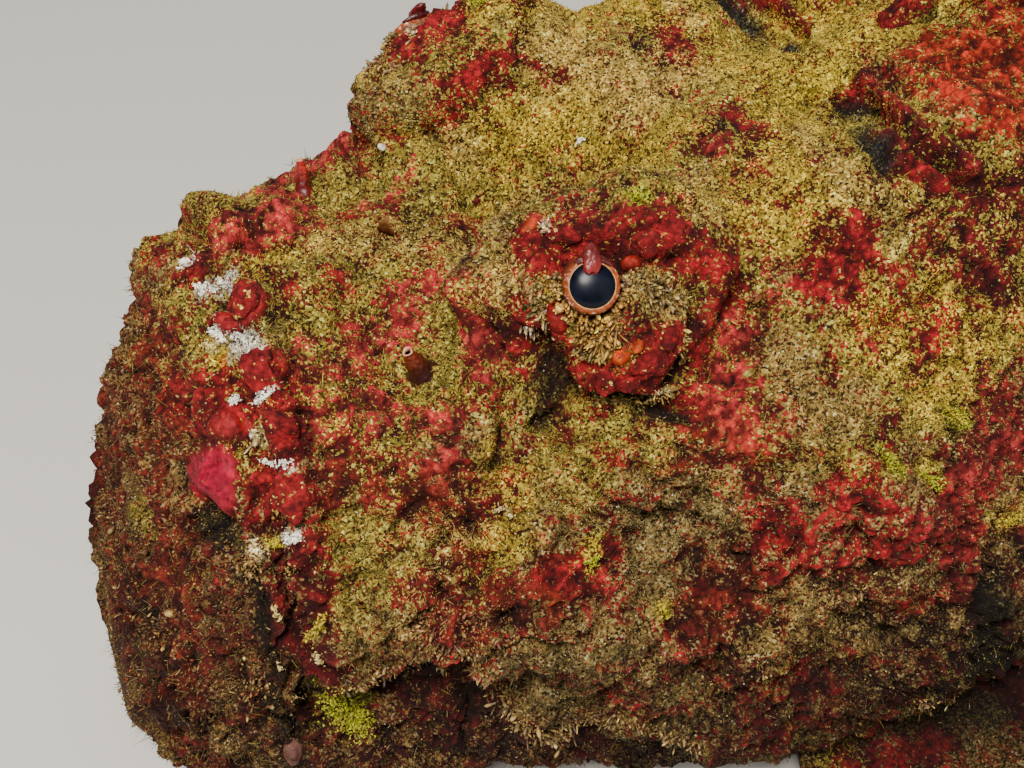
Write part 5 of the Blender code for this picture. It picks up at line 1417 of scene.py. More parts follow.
def leaf_pattern(rng, across=4, along=4):
    """A ruffled flap of skin with a ragged end, closed and thin: x across, z along, unit size."""
    ruffle, ragged = rng.uniform(0.2, 0.45), rng.uniform(0.3, 0.6)
    ends = 1 + rng.uniform(-ragged, ragged * 0.4, across)
    phase = rng.uniform(0, 6)
    upper = np.zeros((along, across, 3))
    for i in range(along):
        t = i / (along - 1)
        for j in range(across):
            s = j / (across - 1) - 0.5
            width = 0.5 + 0.5 * math.sin(math.pi * (0.15 + 0.6 * t))
            wave = ruffle * t * math.sin(phase + 5.5 * s + 2 * t) + 0.25 * t * t
            upper[i, j] = (s * width, wave, t * (1 + (ends[j] - 1) * t))
    thin = (1 - 0.55 * np.linspace(0, 1, along))[:, None, None]
    lower = upper - np.array((0, 0.13, 0)) * thin
    count = across * along
    quads = grid_faces(along, across, closed=False)
    edge = grid_edge(along, across)
    after = np.roll(edge, -1)
    rim = np.stack([edge, after, count + after, count + edge], -1)
    quads = np.concatenate([quads[:, ::-1], count + quads, rim])
    faces = np.concatenate([quads[:, (0, 1, 2)], quads[:, (0, 2, 3)]])
    row, column = np.divmod(faces % count, across)
    half = np.where(faces >= count, 0.52, 0.0)
    uvs = np.stack([column / (across - 1) * 0.46 + half, row / (along - 1)], -1)
    return np.concatenate([upper.reshape(-1, 3), lower.reshape(-1, 3)]), faces, uvs


def spread(patterns, which, roots, out, wide, sizes, tint, tip):
    """Copies of a few patterns, scaled by sizes, with their z turned along out and their x along wide."""
    out = unit(out)
    across = unit(np.cross(out, wide))
    wide = np.cross(across, out)
    points, faces, colours, uvs = [], [], [], []
    total = 0
    for k, (shape, corners, patch) in enumerate(patterns):
        own = np.nonzero(which == k)[0]
        scaled = shape[None] * sizes[own][:, None]
        placed = roots["place"][own][:, None] + scaled[..., :1] * wide[own][:, None]
        placed += scaled[..., 1:2] * across[own][:, None] + scaled[..., 2:] * out[own][:, None]
        points.append(placed.reshape(-1, 3))
        faces.append((corners[None] + total + np.arange(len(own))[:, None, None] * len(shape)).reshape(-1, 3))
        total += len(own) * len(shape)
        height = np.clip(shape[:, 2], 0, 1)[None, :, None]
        colours.append((tint[own][:, None] * (1 - height) + tip[own][:, None] * height).reshape(-1, 3))
        uvs.append((roots["uv"][own][:, None, None] + (patch[None] - 0.5) * PATCH).reshape(-1, 2))
    return tuple(np.concatenate(part) for part in (points, faces, colours, uvs))


def plant(name, patterns, roots, out, wide, sizes, tint, tip, material, rng):
    """One of the patterns at every root, in objects of fewer triangles than PIECE_LIMIT."""
    which = rng.integers(0, len(patterns), len(out))
    faces = np.array([len(pattern[1]) for pattern in patterns])[which]
    group = (np.cumsum(faces) - 1) // PIECE_LIMIT
    for part in range(int(group.max()) + 1):
        own = group == part
        points, corners, colours, uvs = spread(patterns, which[own], kept(roots, own), out[own], wide[own],
                                               sizes[own], tint[own], tip[own])
        make_object(f"{name}_{part + 1}", bent(points), [corners], material, colours, uvs=uvs)


def kept(roots, keep):
    return {key: values[keep] for key, values in roots.items()}


def joined(groups):
    return {key: np.concatenate([group[key] for group in groups]) for key in groups[0]}


def cell_areas(host):
    grid = host.flat.reshape(*host.shape, 3)
    area = np.zeros(host.shape)
    across = np.linalg.norm(np.roll(grid, -1, 1) - grid, axis=2)
    area[:-1] = np.linalg.norm(grid[1:] - grid[:-1], axis=2) * across[:-1]
    if host.open:
        area[:, -1] = 0
    return area.ravel()


def pick_roots(host, count, weight, rng):
    """Places on a surface, drawn with the given weight for each of its points, and what it is like there."""
    columns = host.shape[1]
    grid = host.flat.reshape(*host.shape, 3)
    chance = (cell_areas(host) * weight).clip(0)
    chosen = rng.choice(len(chance), count, p=chance / chance.sum())
    row, column = np.divmod(chosen, columns)
    s, t = rng.random(count), rng.random(count)
    after = (column + 1) % columns
    place = grid[row, column] * ((1 - s) * (1 - t))[:, None] + grid[row + 1, column] * (s * (1 - t))[:, None]
    place += grid[row, after] * ((1 - s) * t)[:, None] + grid[row + 1, after] * (s * t)[:, None]
    v = np.append(host.v, 1.0)
    uv = np.stack([host.u[row] * (1 - s) + host.u[row + 1] * s, v[column] * (1 - t) + v[column + 1] * t], -1)
    uv = host.patch[0] + uv * host.patch[1]
    return {"place": place, "uv": uv, "normal": host.normals[chosen], "tint": host.tint[chosen],
            "cover": host.cover[chosen], "growth": host.growth[chosen]}


def skin_roots(skin, count, weight, rng, reach):
    """Roots on the skin that keep clear of the eyes."""
    roots = pick_roots(skin, int(count / FINE**2), weight * (1 - 0.9 * skin.sleek), rng)
    keep = np.ones(len(roots["place"]), bool)
    for side in (-1, 1):
        keep &= eye_distance(roots["place"], skin.surface, side)[1] > reach
    return kept(roots, keep)


def fin_roots(sheets, density, rng):
    density = density / FINE**2
    roots = joined([pick_roots(sheet, int(cell_areas(sheet).sum() * density) + 1, 0.1 + sheet.cover, rng)
                    for sheet in sheets])
    return kept(roots, roots["place"][:, 2] > FIN_GROWTH_FLOOR)


def view_weight(skin):
    """Most growth on the head's left side and top, less on the rest."""
    x, z = skin.flat[:, 0], skin.flat[:, 2]
    v = np.tile(skin.v, skin.shape[0])
    head = 1 - smooth_step(-60, -20, x)
    left = ((v > 0.09) & (v < 0.60)).astype(float)
    return (0.16 + 0.30 * head + 0.54 * head * left) * (z > 3.5)


def make_grains(name, roots, material, rng):
    """Sand, shell and coralline crumbs, and red knobs of skin where it is bare."""
    count = len(roots["place"])
    own = GRAIN_PALETTE[rng.choice(len(GRAIN_PALETTE), count, p=GRAIN_CHANCES)]
    tint = own * 0.4 + 0.6 * roots["growth"] * rng.uniform(0.4, 1.6, (count, 1))
    tint += (roots["tint"] - tint) * rng.uniform(0, 0.6, (count, 1)) * (1 - roots["cover"])[:, None]
    redden = (rng.random(count) < 0.75 * (1 - roots["cover"]))[:, None]
    tint = np.where(redden, roots["tint"] * rng.uniform(0.7, 1.4, (count, 1)), tint)
    size = rng.lognormal(math.log(GRAIN_SIZE), 0.34, (count, 1)) * rng.uniform(0.75, 1.25, (count, 3))
    out = roots["normal"] + rng.normal(0, 0.5, (count, 3))
    roots["place"] = roots["place"] + roots["normal"] * size[:, :1] * 0.12
    patterns = [grain_pattern(rng) for _ in range(6)]
    plant(name, patterns, roots, out, rng.normal(size=(count, 3)), size, tint, tint * 1.1, material, rng)


def make_blades(name, roots, material, rng, length=0.48, width=(0.10, 0.19), loose=0.6, tall=1, wave=0.0):
    """Algae that stand up between the grains."""
    count = len(roots["place"])
    length = rng.lognormal(math.log(length), 0.36, count)
    width = rng.uniform(*width, count)
    out = roots["normal"] + rng.normal(0, loose, (count, 3)) + np.array((0.1, 0, -0.05))
    tint = roots["growth"] * rng.uniform(0.3, 0.8, (count, 1))
    tip = roots["growth"] * rng.uniform(0.7, 1.7, (count, 1))
    pale = (rng.random(count) < 0.06)[:, None]
    tip = np.where(pale, np.array(PALE) * rng.uniform(0.5, 0.9, (count, 1)), tip)
    roots["place"] = roots["place"] - roots["normal"] * 0.1
    patterns = [strand_pattern(rng, 3, tall, rng.uniform(0.2, 1.2), wave) for _ in range(8)]
    plant(name, patterns, roots, out, rng.normal(size=(count, 3)), np.stack([width, width, length], -1), tint,
          np.clip(tip, 0, 1), material, rng)


def make_bushes(skin, material, rng):
    """Small bushes of algae with many strands from one root."""
    weight = view_weight(skin) * (0.05 + skin.cover) * (0.4 + region_roughness(skin.flat))
    roots = skin_roots(skin, BUSHES, weight, rng, 8.5)
    shade = rng.uniform(0.45, 1.3, (len(roots["place"]), 1))
    roots["growth"] = roots["growth"] * shade
    roots = {key: np.repeat(values, BUSH_STRANDS, 0) for key, values in roots.items()}
    roots["place"] = roots["place"] + rng.normal(0, 0.24, roots["place"].shape)
    make_blades("bushes", roots, material, rng, length=0.85, width=(0.12, 0.22), loose=0.8, tall=2)


def make_hairs(skin, material, rng):
    """Fine long algae, thickest on the lower jaw."""
    x, z = skin.flat[:, 0], skin.flat[:, 2]
    jaw = smooth_step(MOUTH_X - 3, MOUTH_X - 9, x)
    low = smooth_step(70, 40, z) * (1 - smooth_step(-60, -30, x))
    roots = skin_roots(skin, HAIRS, (0.03 + jaw + 0.12 * low) * (z > 4), rng, 8)
    count = len(roots["place"])
    green = (rng.random(count) < 0.3)[:, None]
    brown = np.array(UMBER) * rng.uniform(0.8, 2.2, (count, 1))
    roots["growth"] = np.where(green, np.array(OLIVE) * 0.7, brown)
    make_blades("hair_algae", roots, material, rng, 1.3, (0.07, 0.12), loose=0.7, tall=4, wave=0.5)


def make_flaps(skin, material, rng):
    """Ragged little flaps of skin on the cheeks, jaw and flanks."""
    rough = (region_roughness(skin.flat) - 0.45).clip(0.02)
    roots = skin_roots(skin, FLAPS, (view_weight(skin) + 0.1) * rough * (skin.flat[:, 2] > 5), rng, 9)
    count = len(roots["place"])
    length = rng.lognormal(math.log(0.75), 0.35, count)
    width = length * rng.uniform(0.7, 1.3, count)
    out = roots["normal"] * 0.8 + rng.normal(0, 0.4, (count, 3)) + np.array((-0.1, 0, -0.35))
    wide = np.cross(roots["normal"], (0.2, 0, -1)) + rng.normal(0, 0.4, (count, 3))
    mix = rng.random((count, 1)) * 0.9
    tip = roots["growth"] * mix + roots["tint"] * (1 - mix)
    roots["place"] = roots["place"] - roots["normal"] * 0.2
    sizes = np.stack([width, length, length], -1)
    patterns = [leaf_pattern(rng) for _ in range(8)]
    tint = roots["tint"] * rng.uniform(0.5, 1.0, (count, 1))
    plant("flaps", patterns, roots, out, wide, sizes, tint, tip, material, rng)


def frill_rows(skin, rng, share, wanted=lambda colour: True):
    """Roots for the rows of FRILLS, on both sides, with the colours and size of each."""
    found = {key: [] for key in ("place", "uv", "normal", "root_colour", "tip_colour", "length", "width")}
    for root_colour, tip_colour, count, length, width, loose, pixels in FRILLS:
        if not wanted(root_colour):
            continue
        pixels = np.array(pixels, float)
        for _ in range(int(count * share * (1 if root_colour in CRUSTS else 0.35))):
            at = rng.random() * (len(pixels) - 1)
            i = min(int(at), len(pixels) - 2)
            pixel = pixels[i] + (pixels[i + 1] - pixels[i]) * (at - i) + rng.normal(0, loose * 3.2, 2)
            place, normal = skin.outer.seen_at(*pixel)
            if place is None:
                continue
            shade = rng.uniform(0.85, 1.1) if root_colour is WHITE else rng.uniform(0.55, 1.1)
            for side in (1, -1) if has_twin(place) else (1,):
                flip = np.array((1, side, 1))
                spot = place if side == 1 else skin.outer.onto(place * flip, normal * flip)
                values = (spot, skin.map_near(spot), normal * flip, np.array(root_colour) * shade,
                          np.array(tip_colour) * shade, length, width)
                for key, value in zip(found, values):
                    found[key].append(value)
    return {key: np.array(values) for key, values in found.items()}


def make_frills(skin, material, wet_material, rng):
    """The frills, cirri and fringes listed in FRILLS, made of papillae and crumbs."""
    patterns = [club_pattern(rng) for _ in range(8)]
    roots = frill_rows(skin, rng, 4.0, lambda colour: colour not in CRUSTS)
    count = len(roots["place"])
    out = roots["normal"] + rng.normal(0, 0.5, (count, 3)) + np.array((-0.15, 0, -0.6))
    length = roots["length"] * rng.uniform(0.4, 1.0, count)
    width = roots["width"] * rng.lognormal(0, 0.4, count)
    wide = rng.normal(size=(count, 3))
    tip = (roots["tip_colour"] * rng.lognormal(-0.1, 0.7, (count, 1))).clip(0, 0.9)
    plant("papillae", patterns, roots, out, wide, np.stack([width, width, length], -1),
          roots["root_colour"] * 0.35, tip, wet_material, rng)
    roots = frill_rows(skin, rng, 9)
    count = len(roots["place"])
    size = rng.lognormal(math.log(0.40), 0.40, (count, 3))
    roots["place"] = roots["place"] + roots["normal"] * rng.uniform(0, 0.7, (count, 1))
    mix = rng.random((count, 1)) ** 0.6
    colours = roots["root_colour"] * (1 - mix) + roots["tip_colour"] * mix
    patterns = [grain_pattern(rng) for _ in range(6)]
    out = roots["normal"] + rng.normal(0, 0.6, (count, 3))
    wide = rng.normal(size=(count, 3))
    plant("crumbs", patterns, roots, out, wide, size, colours, colours * 1.15, material, rng)


def blob_grid(radii, seed, rings=20, sides=28, wobble=0.24):
    """A knobbly lump with a radius along each of x, y and z."""
    angle = np.linspace(0, math.pi, rings)
    grid = turned_grid([(max(math.sin(a), 0.01), math.cos(a)) for a in angle], sides)
    big = grid * 3
    lumps = noise(big, 2.6, seed) + 0.4 * noise(big, 1.0, seed + 1) + 0.2 * noise(big, 0.5, seed + 2)
    return grid * (1 + wobble * lumps)[..., None] * np.array(radii)


def blob_uvs(skin, spot, rows, columns):
    """A lobe's place on the skin's map: its rings and sides on one small patch at its root."""
    row, column = np.divmod(grid_faces(rows, columns)[:, ::-1], columns)
    column = np.where((column == 0) & (column.max(1) == columns - 1)[:, None], columns, column)
    return (skin.map_near(spot) + (np.stack([row / rows, column / columns], -1) - 0.5) * PATCH).reshape(-1, 2)


def make_lobes(skin, material):
    """The lobes and beads of skin listed in LOBES, with their like, lower, on the right side."""
    right, up, _ = view_axes()
    points, faces, colours, uvs, bead = [], [], [], [], []
    for k, (colour, long, wide, high, tilt, pixel) in enumerate(LOBES):
        place, normal = skin.outer.seen_at(*pixel)
        angle = math.radians(tilt)
        along = right * math.cos(angle) + up * math.sin(angle)
        for side in (1, -1) if has_twin(place) else (1,):
            flip = np.array((1, side, 1))
            out = normal * flip
            spot = place if side == 1 else skin.outer.onto(place * flip, out) - out * 0.7
            first = unit(along * flip - out * (along * flip @ out))
            axes = np.stack([first, np.cross(out, first), out])
            grid = blob_grid((long, wide, high), 300 + k, wobble=0.42 if colour is CRIMSON else 0.1)
            flat = spot + grid.reshape(-1, 3) @ axes
            faces.append(sum(len(p) for p in points) + grid_faces(*grid.shape[:2])[:, ::-1])
            points.append(flat)
            tone = 0.72 + 0.40 * noise(flat, 0.9, 320) + 0.4 * noise(flat, 2.2, 321)
            colours.append(np.array(colour) * tone[:, None] * (0.62 if colour is CRIMSON else 1))
            uvs.append(blob_uvs(skin, spot, *grid.shape[:2]))
            bead.append(np.full(len(flat), float(colour is not CRIMSON)))
    flat = np.concatenate(points)
    bead = np.concatenate(bead)
    cover = np.clip(0.12 + 0.3 * layers(flat, 2.0, 3, 322), 0.02, 0.6) * (1 - 0.95 * bead)
    values = (("cover", cover), ("sleek", 0.45 + 0.5 * bead), ("growth", np.tile(SAND, (len(flat), 1))))
    make_object("lobes", flat, [np.concatenate(faces)], material, np.concatenate(colours), values,
                np.concatenate(uvs))


def make_nostrils(skin, material):
    """A short open tube of skin on each side of the snout."""
    right, up, look = view_axes()
    for (pixel, lean, height, foot, mouth, dark, bright), word in zip(NOSTRILS, ("left", "right")):
        place = skin.outer.at_pixel(*pixel)
        axis, first, second = frame_of(unit(right * lean[0] + up * lean[1] - look * lean[2]))
        outline = [(foot * (1.2 - 0.2 * min(s * 4, 1)) * (1 - s) + mouth * s, -0.8 + (height + 0.8) * s)
                   for s in np.linspace(0, 1, 26)]
        outline += [(mouth * 1.04, height + 0.1), (mouth * 0.9, height + 0.2), (mouth * 0.72, height + 0.1)]
        outline += [(mouth * 0.62, height - 0.5), (mouth * 0.5, height - 1.6), (0.01, height - 2.0)]
        grid = turned_grid(outline, NOSTRIL_SIDES)
        grid = grid + (0.14 * noise(grid, 1.1, 330) + 0.10 * noise(grid, 0.45, 332))[..., None] * (1, 1, 0.3)
        flat = place + grid.reshape(-1, 3) @ np.stack([first, second, axis])
        ring = np.repeat(np.arange(len(grid)), NOSTRIL_SIDES)
        colours = blended(np.tile(dark, (len(flat), 1)), bright, smooth_step(8, 25, ring))
        colours = colours * (1 + 0.5 * noise(flat, 1.0, 331) + 0.4 * noise(flat, 0.35, 334))[:, None]
        colours = blended(colours, PINK_RIM, (np.abs(ring - 27) < 1.5).astype(float))
        # Painted shade fills the tube's inside
        colours = blended(colours, NOSTRIL_PIT_SHADE, (ring > 28).astype(float))
        faces = grid_faces(len(grid), NOSTRIL_SIDES)[:, ::-1]
        make_object("nostril_" + word, flat, [faces], material, colours,
                    uvs=blob_uvs(skin, place, len(grid), NOSTRIL_SIDES))


# Eyes

def turned_grid(profile_points, sides):
    """Unit-frame points of a turned surface: rows of rings from the middle outwards."""
    angle = np.arange(sides) * 2 * math.pi / sides
    radius = np.array([p[0] for p in profile_points])[:, None]
    height = np.array([p[1] for p in profile_points])[:, None]
    return np.stack([radius * np.cos(angle), radius * np.sin(angle), height + 0 * angle], -1)


def frame_of(axis):
    axis = axis / np.linalg.norm(axis)
    first = np.cross(axis, (0, 0, 1) if abs(axis[2]) < 0.9 else (1, 0, 0))
    first /= np.linalg.norm(first)
    return axis, first, np.cross(axis, first)


def grid_faces(rows, columns, closed=True):
    index = np.arange(rows * columns).reshape(rows, columns)
    if closed:
        after = np.roll(index, -1, 1)
        return np.stack([index[:-1], after[:-1], after[1:], index[1:]], -1).reshape(-1, 4)
    return np.stack([index[:-1, :-1], index[:-1, 1:], index[1:, 1:], index[1:, :-1]], -1).reshape(-1, 4)


def grid_edge(rows, columns):
    """The points round the edge of an open grid, in order."""
    edge = list(range(columns)) + [i * columns + columns - 1 for i in range(1, rows)]
    edge += [(rows - 1) * columns + j for j in range(columns - 2, -1, -1)]
    edge += [i * columns for i in range(rows - 2, 0, -1)]
    return np.array(edge)


def make_eye(surface, side, word, eye_look, ring_look):
    centre, aim = eye_place(surface, side)
    axis, first, second = frame_of(aim)
    axes = np.stack([first, second, axis])
    make_pupil(centre, axes, word, eye_look)
    make_iris(centre, axes, word, ring_look)
    make_lid(centre, axis, side, word, ring_look)


def make_pupil(centre, axes, word, material):
    dome = [(0.02 + (PUPIL_RADIUS + 0.1) * t, 3.3 + 1.35 * math.sqrt(max(1 - (0.93 * t) ** 2, 0)))
            for t in np.linspace(0, 1, 14)]
    dome += [(PUPIL_RADIUS + 0.3, 2.6), (2.0, 1.6), (0.02, 1.4)]
    grid = turned_grid(dome, PUPIL_SIDES)
    points = centre + grid.reshape(-1, 3) @ axes
    make_object("pupil_" + word, points, [grid_faces(*grid.shape[:2])], material)


def make_iris(centre, axes, word, material):
    """The brown ring round the pupil, with a golden rim and pale flecks."""
    ring = [(PUPIL_RADIUS - 0.15, 3.1), (PUPIL_RADIUS - 0.05, 3.55), (PUPIL_RADIUS + 0.03, 3.86)]
    ring += [(RIM_RADIUS, 3.98), (RIM_RADIUS + 0.07, 3.93), (RIM_RADIUS + 0.14, 3.86)]
    ring += [(3.08, 3.80), (3.22, 3.68), (3.34, 3.48), (IRIS_RADIUS, 3.1), (3.52, 2.6)]
    ring += [(3.6, 1.9), (3.7, 1.0), (3.5, 0.2), (2.4, 0.0)]
    local = turned_grid(ring, IRIS_SIDES).reshape(-1, 3)
    radius = np.linalg.norm(local[:, :2], axis=1)
    bumps = 0.16 * noise(local, 0.55, 130) + 0.12 * noise(local, 0.28, 131)
    local[:, 2] += bumps * smooth_step(RIM_RADIUS, RIM_RADIUS + 0.3, radius)
    angle = np.arctan2(local[:, 1], local[:, 0])
    fringe = 0.28 * np.maximum(np.sin(angle * 17 + 3 * noise(local, 3.0, 133)), 0)
    local[:, 2] += fringe * np.exp(-((radius - 3.36) / 0.14) ** 2)
    spots = noise(local, 0.5, 134)
    colours = np.tile(IRIS_BROWN, (len(local), 1)) * (1 + 0.5 * noise(local, 0.8, 135))[:, None]
    colours = blended(colours, IRIS_GOLD, np.exp(-((radius - RIM_RADIUS) / 0.09) ** 2))
    colours = blended(colours, IRIS_CREAM, smooth_step(0.4, 0.7, spots) * smooth_step(3.15, 3.3, radius))
    colours = blended(colours, UMBER, smooth_step(3.42, 3.6, radius))
    make_object("iris_" + word, centre + local @ axes, [grid_faces(len(ring), IRIS_SIDES)], material,
                colours, replaces=("eye_" + word,))


def lid_axes(axis, side):
    """The eye's own directions: up in the frame, to the side, and outwards."""
    _, up, _ = view_axes()
    up = up * (1, -side, 1)
    up = unit(up - axis * (up @ axis))
    return np.stack([up, np.cross(axis, up), axis])


def make_lashes(skin, material, rng):
    """Knobbly papillae that crowd round each eye: golden below it, brown beside it."""
    groups = []
    for side in (-1, 1):
        centre, aim = eye_place(skin.surface, side)
        axes = lid_axes(unit(aim), side)
        count = int(LASHES / FINE)
        angle = rng.uniform(0.38 * math.pi, 1.62 * math.pi, count)
        radial = np.stack([np.cos(angle), np.sin(angle), 0 * angle], -1)
        radius = rng.uniform(3.55, 5.0, count)
        height = 3.0 - 0.45 * (radius - 3.5) + rng.normal(0, 0.15, count)
        place = centre + (radial * radius[:, None] + np.stack([0 * angle, 0 * angle, height], -1)) @ axes
        below = smooth_step(0.1, -0.6, radial[:, 0])
        tip = blended(np.tile(TAN, (count, 1)), np.array(GOLD) * 0.9, below)
        tip = tip * rng.lognormal(-0.1, 0.65, (count, 1))
        root = np.tile(UMBER, (count, 1)) * 0.5
        uv = np.array([skin.map_near(spot) for spot in place])
        out = radial * rng.uniform(0.2, 1.1, (count, 1)) + (0, 0, 0.7) + rng.normal(0, 0.2, (count, 3))
        groups.append({"place": place, "uv": uv, "out": out @ axes, "tint": root, "tip": tip})
    roots = joined(groups)
    count = len(roots["out"])
    length = rng.uniform(0.5, 1.15, count)
    width = rng.lognormal(math.log(0.40), 0.35, count)
    plant("lashes", [club_pattern(rng) for _ in range(8)], roots, roots["out"], rng.normal(size=(count, 3)),
          np.stack([width, width, length], -1), roots["tint"], np.clip(roots["tip"], 0, 0.9), material, rng)


def make_lid(centre, axis, side, word, material):
    """The dark upper lid, and the lobe of skin that hangs from it over the pupil's top."""
    axes = lid_axes(axis, side)
    for name, radii, shift, colour in (("crown", (1.9, 1.1, 0.7), (2.95, 0.25, 4.55), CROWN_RED),
                                       ("lid", (0.55, 2.3, 0.6), (3.25, 0, 3.75), LID_RED)):
        grid = blob_grid(radii, 340)
        if name == "lid":
            grid[..., 0] -= 0.14 * grid[..., 1] ** 2
        flat = centre + np.array(shift) @ axes + grid.reshape(-1, 3) @ axes
        share = smooth_step(-1.2, 0.8, grid.reshape(-1, 3)[:, 0])
        colours = blended(np.tile(colour, (len(flat), 1)), np.array(colour) * 0.5, share)
        make_object(f"{name}_{word}", flat, [grid_faces(*grid.shape[:2])], material, colours)


# Fins

def curve_through(points, k):
    """Points on a smooth curve through a few points, k from 0 to 1."""
    points = np.array(points, float)
    at = np.linspace(0, 1, len(points))
    slopes = np.gradient(points, at, axis=0)
    i = np.minimum((k * (len(points) - 1)).astype(int), len(points) - 2)
    step = at[1]
    t = ((k - at[i]) / step)[..., None]
    return hermite(t, step, points[i], slopes[i], points[i + 1], slopes[i + 1])


class Sheet:
    """One face of a fin, with what growth needs to know about it."""

    open = True

    def __init__(self, points, normals, tile, half):
        self.shape = points.shape[:2]
        self.flat = points.reshape(-1, 3)
        self.normals = normals.reshape(-1, 3)
        self.u = np.linspace(0, 1, self.shape[0])
        self.v = np.linspace(0, 1, self.shape[1])
        row, column = divmod(tile, FIN_TILES)
        start = np.array((row, column + half * 0.5)) / FIN_TILES
        self.patch = (start + 0.004, np.array((1, 0.5)) / FIN_TILES - 0.008)
        self.sleek = np.zeros(len(self.flat))
        jaw = np.full(len(self.flat), 0.15)
        self.tint, self.cover, self.growth = ground_paint(self.flat, self.normals, jaw)

    def uv_at(self, i, j):
        return self.patch[0] + np.stack([self.u[i], self.v[j]], -1) * self.patch[1]


def fin_colours(sheet, along, ridge):
    """Darker bars, painted shade towards the root, and a paler, ragged margin on a fin."""
    points = sheet.flat
    wave = np.sin(along * 15 + 2.2 * noise(points, 14.0, 200)) + 0.5 * noise(points, 5.0, 201)
    sheet.tint = blended(sheet.tint, DEEP_RED, 0.55 * smooth_step(0.1, 0.8, wave))
    sheet.tint = sheet.tint * (0.75 + 0.35 * ridge)[:, None]
    # Painted shade: the fin darkens towards its root, by the body
    shadow = (0.08 + 0.92 * smooth_step(0.14, 0.52, along + 0.06 * noise(points, 9.0, 203)))[:, None]
    sheet.tint, sheet.growth = sheet.tint * shadow, sheet.growth * shadow
    margin = smooth_step(0.86, 0.97, along + 0.03 * noise(points, 4.0, 202))
    sheet.tint = blended(sheet.tint, ORANGE, 0.5 * margin)
    grit = layers(points, 4.0, 4, 205, 0.8)
    sheet.cover = np.clip(sheet.cover - 0.08 + 0.24 * grit + 0.1 * margin, 0.04, 0.9)


def sheet_object(name, middle, depth, ridge, along, tile, material, lowest, replaces):
    """A closed fin about a grid of middle points; returns its two faces for growth."""
    normal = grid_normals(middle, closed=False)
    relief = 0.30 * noise(middle, 2.6, 210) + 0.16 * noise(middle, 1.2, 211) + 0.5 * noise(middle, 7.0, 212)
    lumps = cells(middle, 3.4, 213)
    relief = (relief + 0.5 * (0.55 - lumps))[..., None]
    upper = middle + normal * (depth[..., None] / 2 + relief * 0.8)
    lower = middle - normal * (depth[..., None] / 2 + relief * 0.3)
    if lowest is not None:
        over, under = (upper, lower) if normal[..., 2].mean() > 0 else (lower, upper)
        under[..., 2] = np.maximum(under[..., 2], lowest)
        over[..., 2] = np.maximum(over[..., 2], under[..., 2] + np.minimum(depth, 1.2))
    rows, columns = middle.shape[:2]
    count = rows * columns
    sheets = [Sheet(upper, normal, tile, 0), Sheet(lower, -normal, tile, 1)]
    for sheet in sheets:
        fin_colours(sheet, along.ravel(), ridge.ravel())
    quads = grid_faces(rows, columns, closed=False)
    faces = [quads, count + quads[:, ::-1]]
    i, j = np.divmod(quads, columns)
    uvs = [sheets[0].uv_at(i, j).reshape(-1, 2), sheets[1].uv_at(i[:, ::-1], j[:, ::-1]).reshape(-1, 2)]
    edge = grid_edge(rows, columns)
    after = np.roll(edge, -1)
    faces.append(np.stack([after, edge, count + edge, count + after], -1))
    i, j = np.divmod(np.stack([after, edge, edge, after], -1), columns)
    rim = sheets[0].uv_at(i, j)
    rim[:, 2:] += 0.001
    uvs.append(rim.reshape(-1, 2))
    if (np.cross(middle[1, 0] - middle[0, 0], middle[0, 1] - middle[0, 0]) * normal[0, 0]).sum() > 0:
        faces = [f[:, ::-1] for f in faces]
        uvs = [uv.reshape(-1, 4, 2)[:, ::-1].reshape(-1, 2) for uv in uvs]
    points = np.concatenate([upper.reshape(-1, 3), lower.reshape(-1, 3)])
    values = [(key, np.concatenate([getattr(sheet, key) for sheet in sheets]))
              for key in ("cover", "sleek", "growth")]
    tint = np.concatenate([sheet.tint for sheet in sheets])
    make_object(name, bent(points), faces, material, tint, values, np.concatenate(uvs), replaces)
    return sheets


def rayed_fin(name, roots, tips, rays, bow, root_thick, tip_thick, power, scallop, tile, material, lowest,
              replaces):
    """A fan of thick rays with thinner skin between them and a notched, ragged edge."""
    columns = (rays - 1) * RAY_COLUMNS + 1
    k, t = np.meshgrid(np.linspace(0, 1, columns), np.linspace(0, 1, FIN_ROWS), indexing="xy")
    root, tip = curve_through(roots, k), curve_through(tips, k)
    phase = k * (rays - 1)
    ridge = np.abs(np.cos(math.pi * phase)) ** 1.6
    ragged = 0.028 * noise(tip, 5.0, 220) + 0.018 * noise(tip, 1.8, 221)
    reach = t * (1 - scallop * (1 - ridge) * smooth_step(0.5, 1, t) + ragged * smooth_step(0.4, 1, t))
    middle = root + (tip - root) * reach[..., None]
    middle[..., 2] += bow * (1 - k) * np.sin(math.pi * reach)
    depth = root_thick + (tip_thick - root_thick) * t**power
    depth = depth * (0.42 + 0.58 * ridge) + 0.10 * np.sin(t * 90) * ridge
    depth = depth * (1 - 0.55 * smooth_step(0.93, 1.0, t))
    return sheet_object(name, middle, depth, ridge, t, tile, material, lowest, replaces)


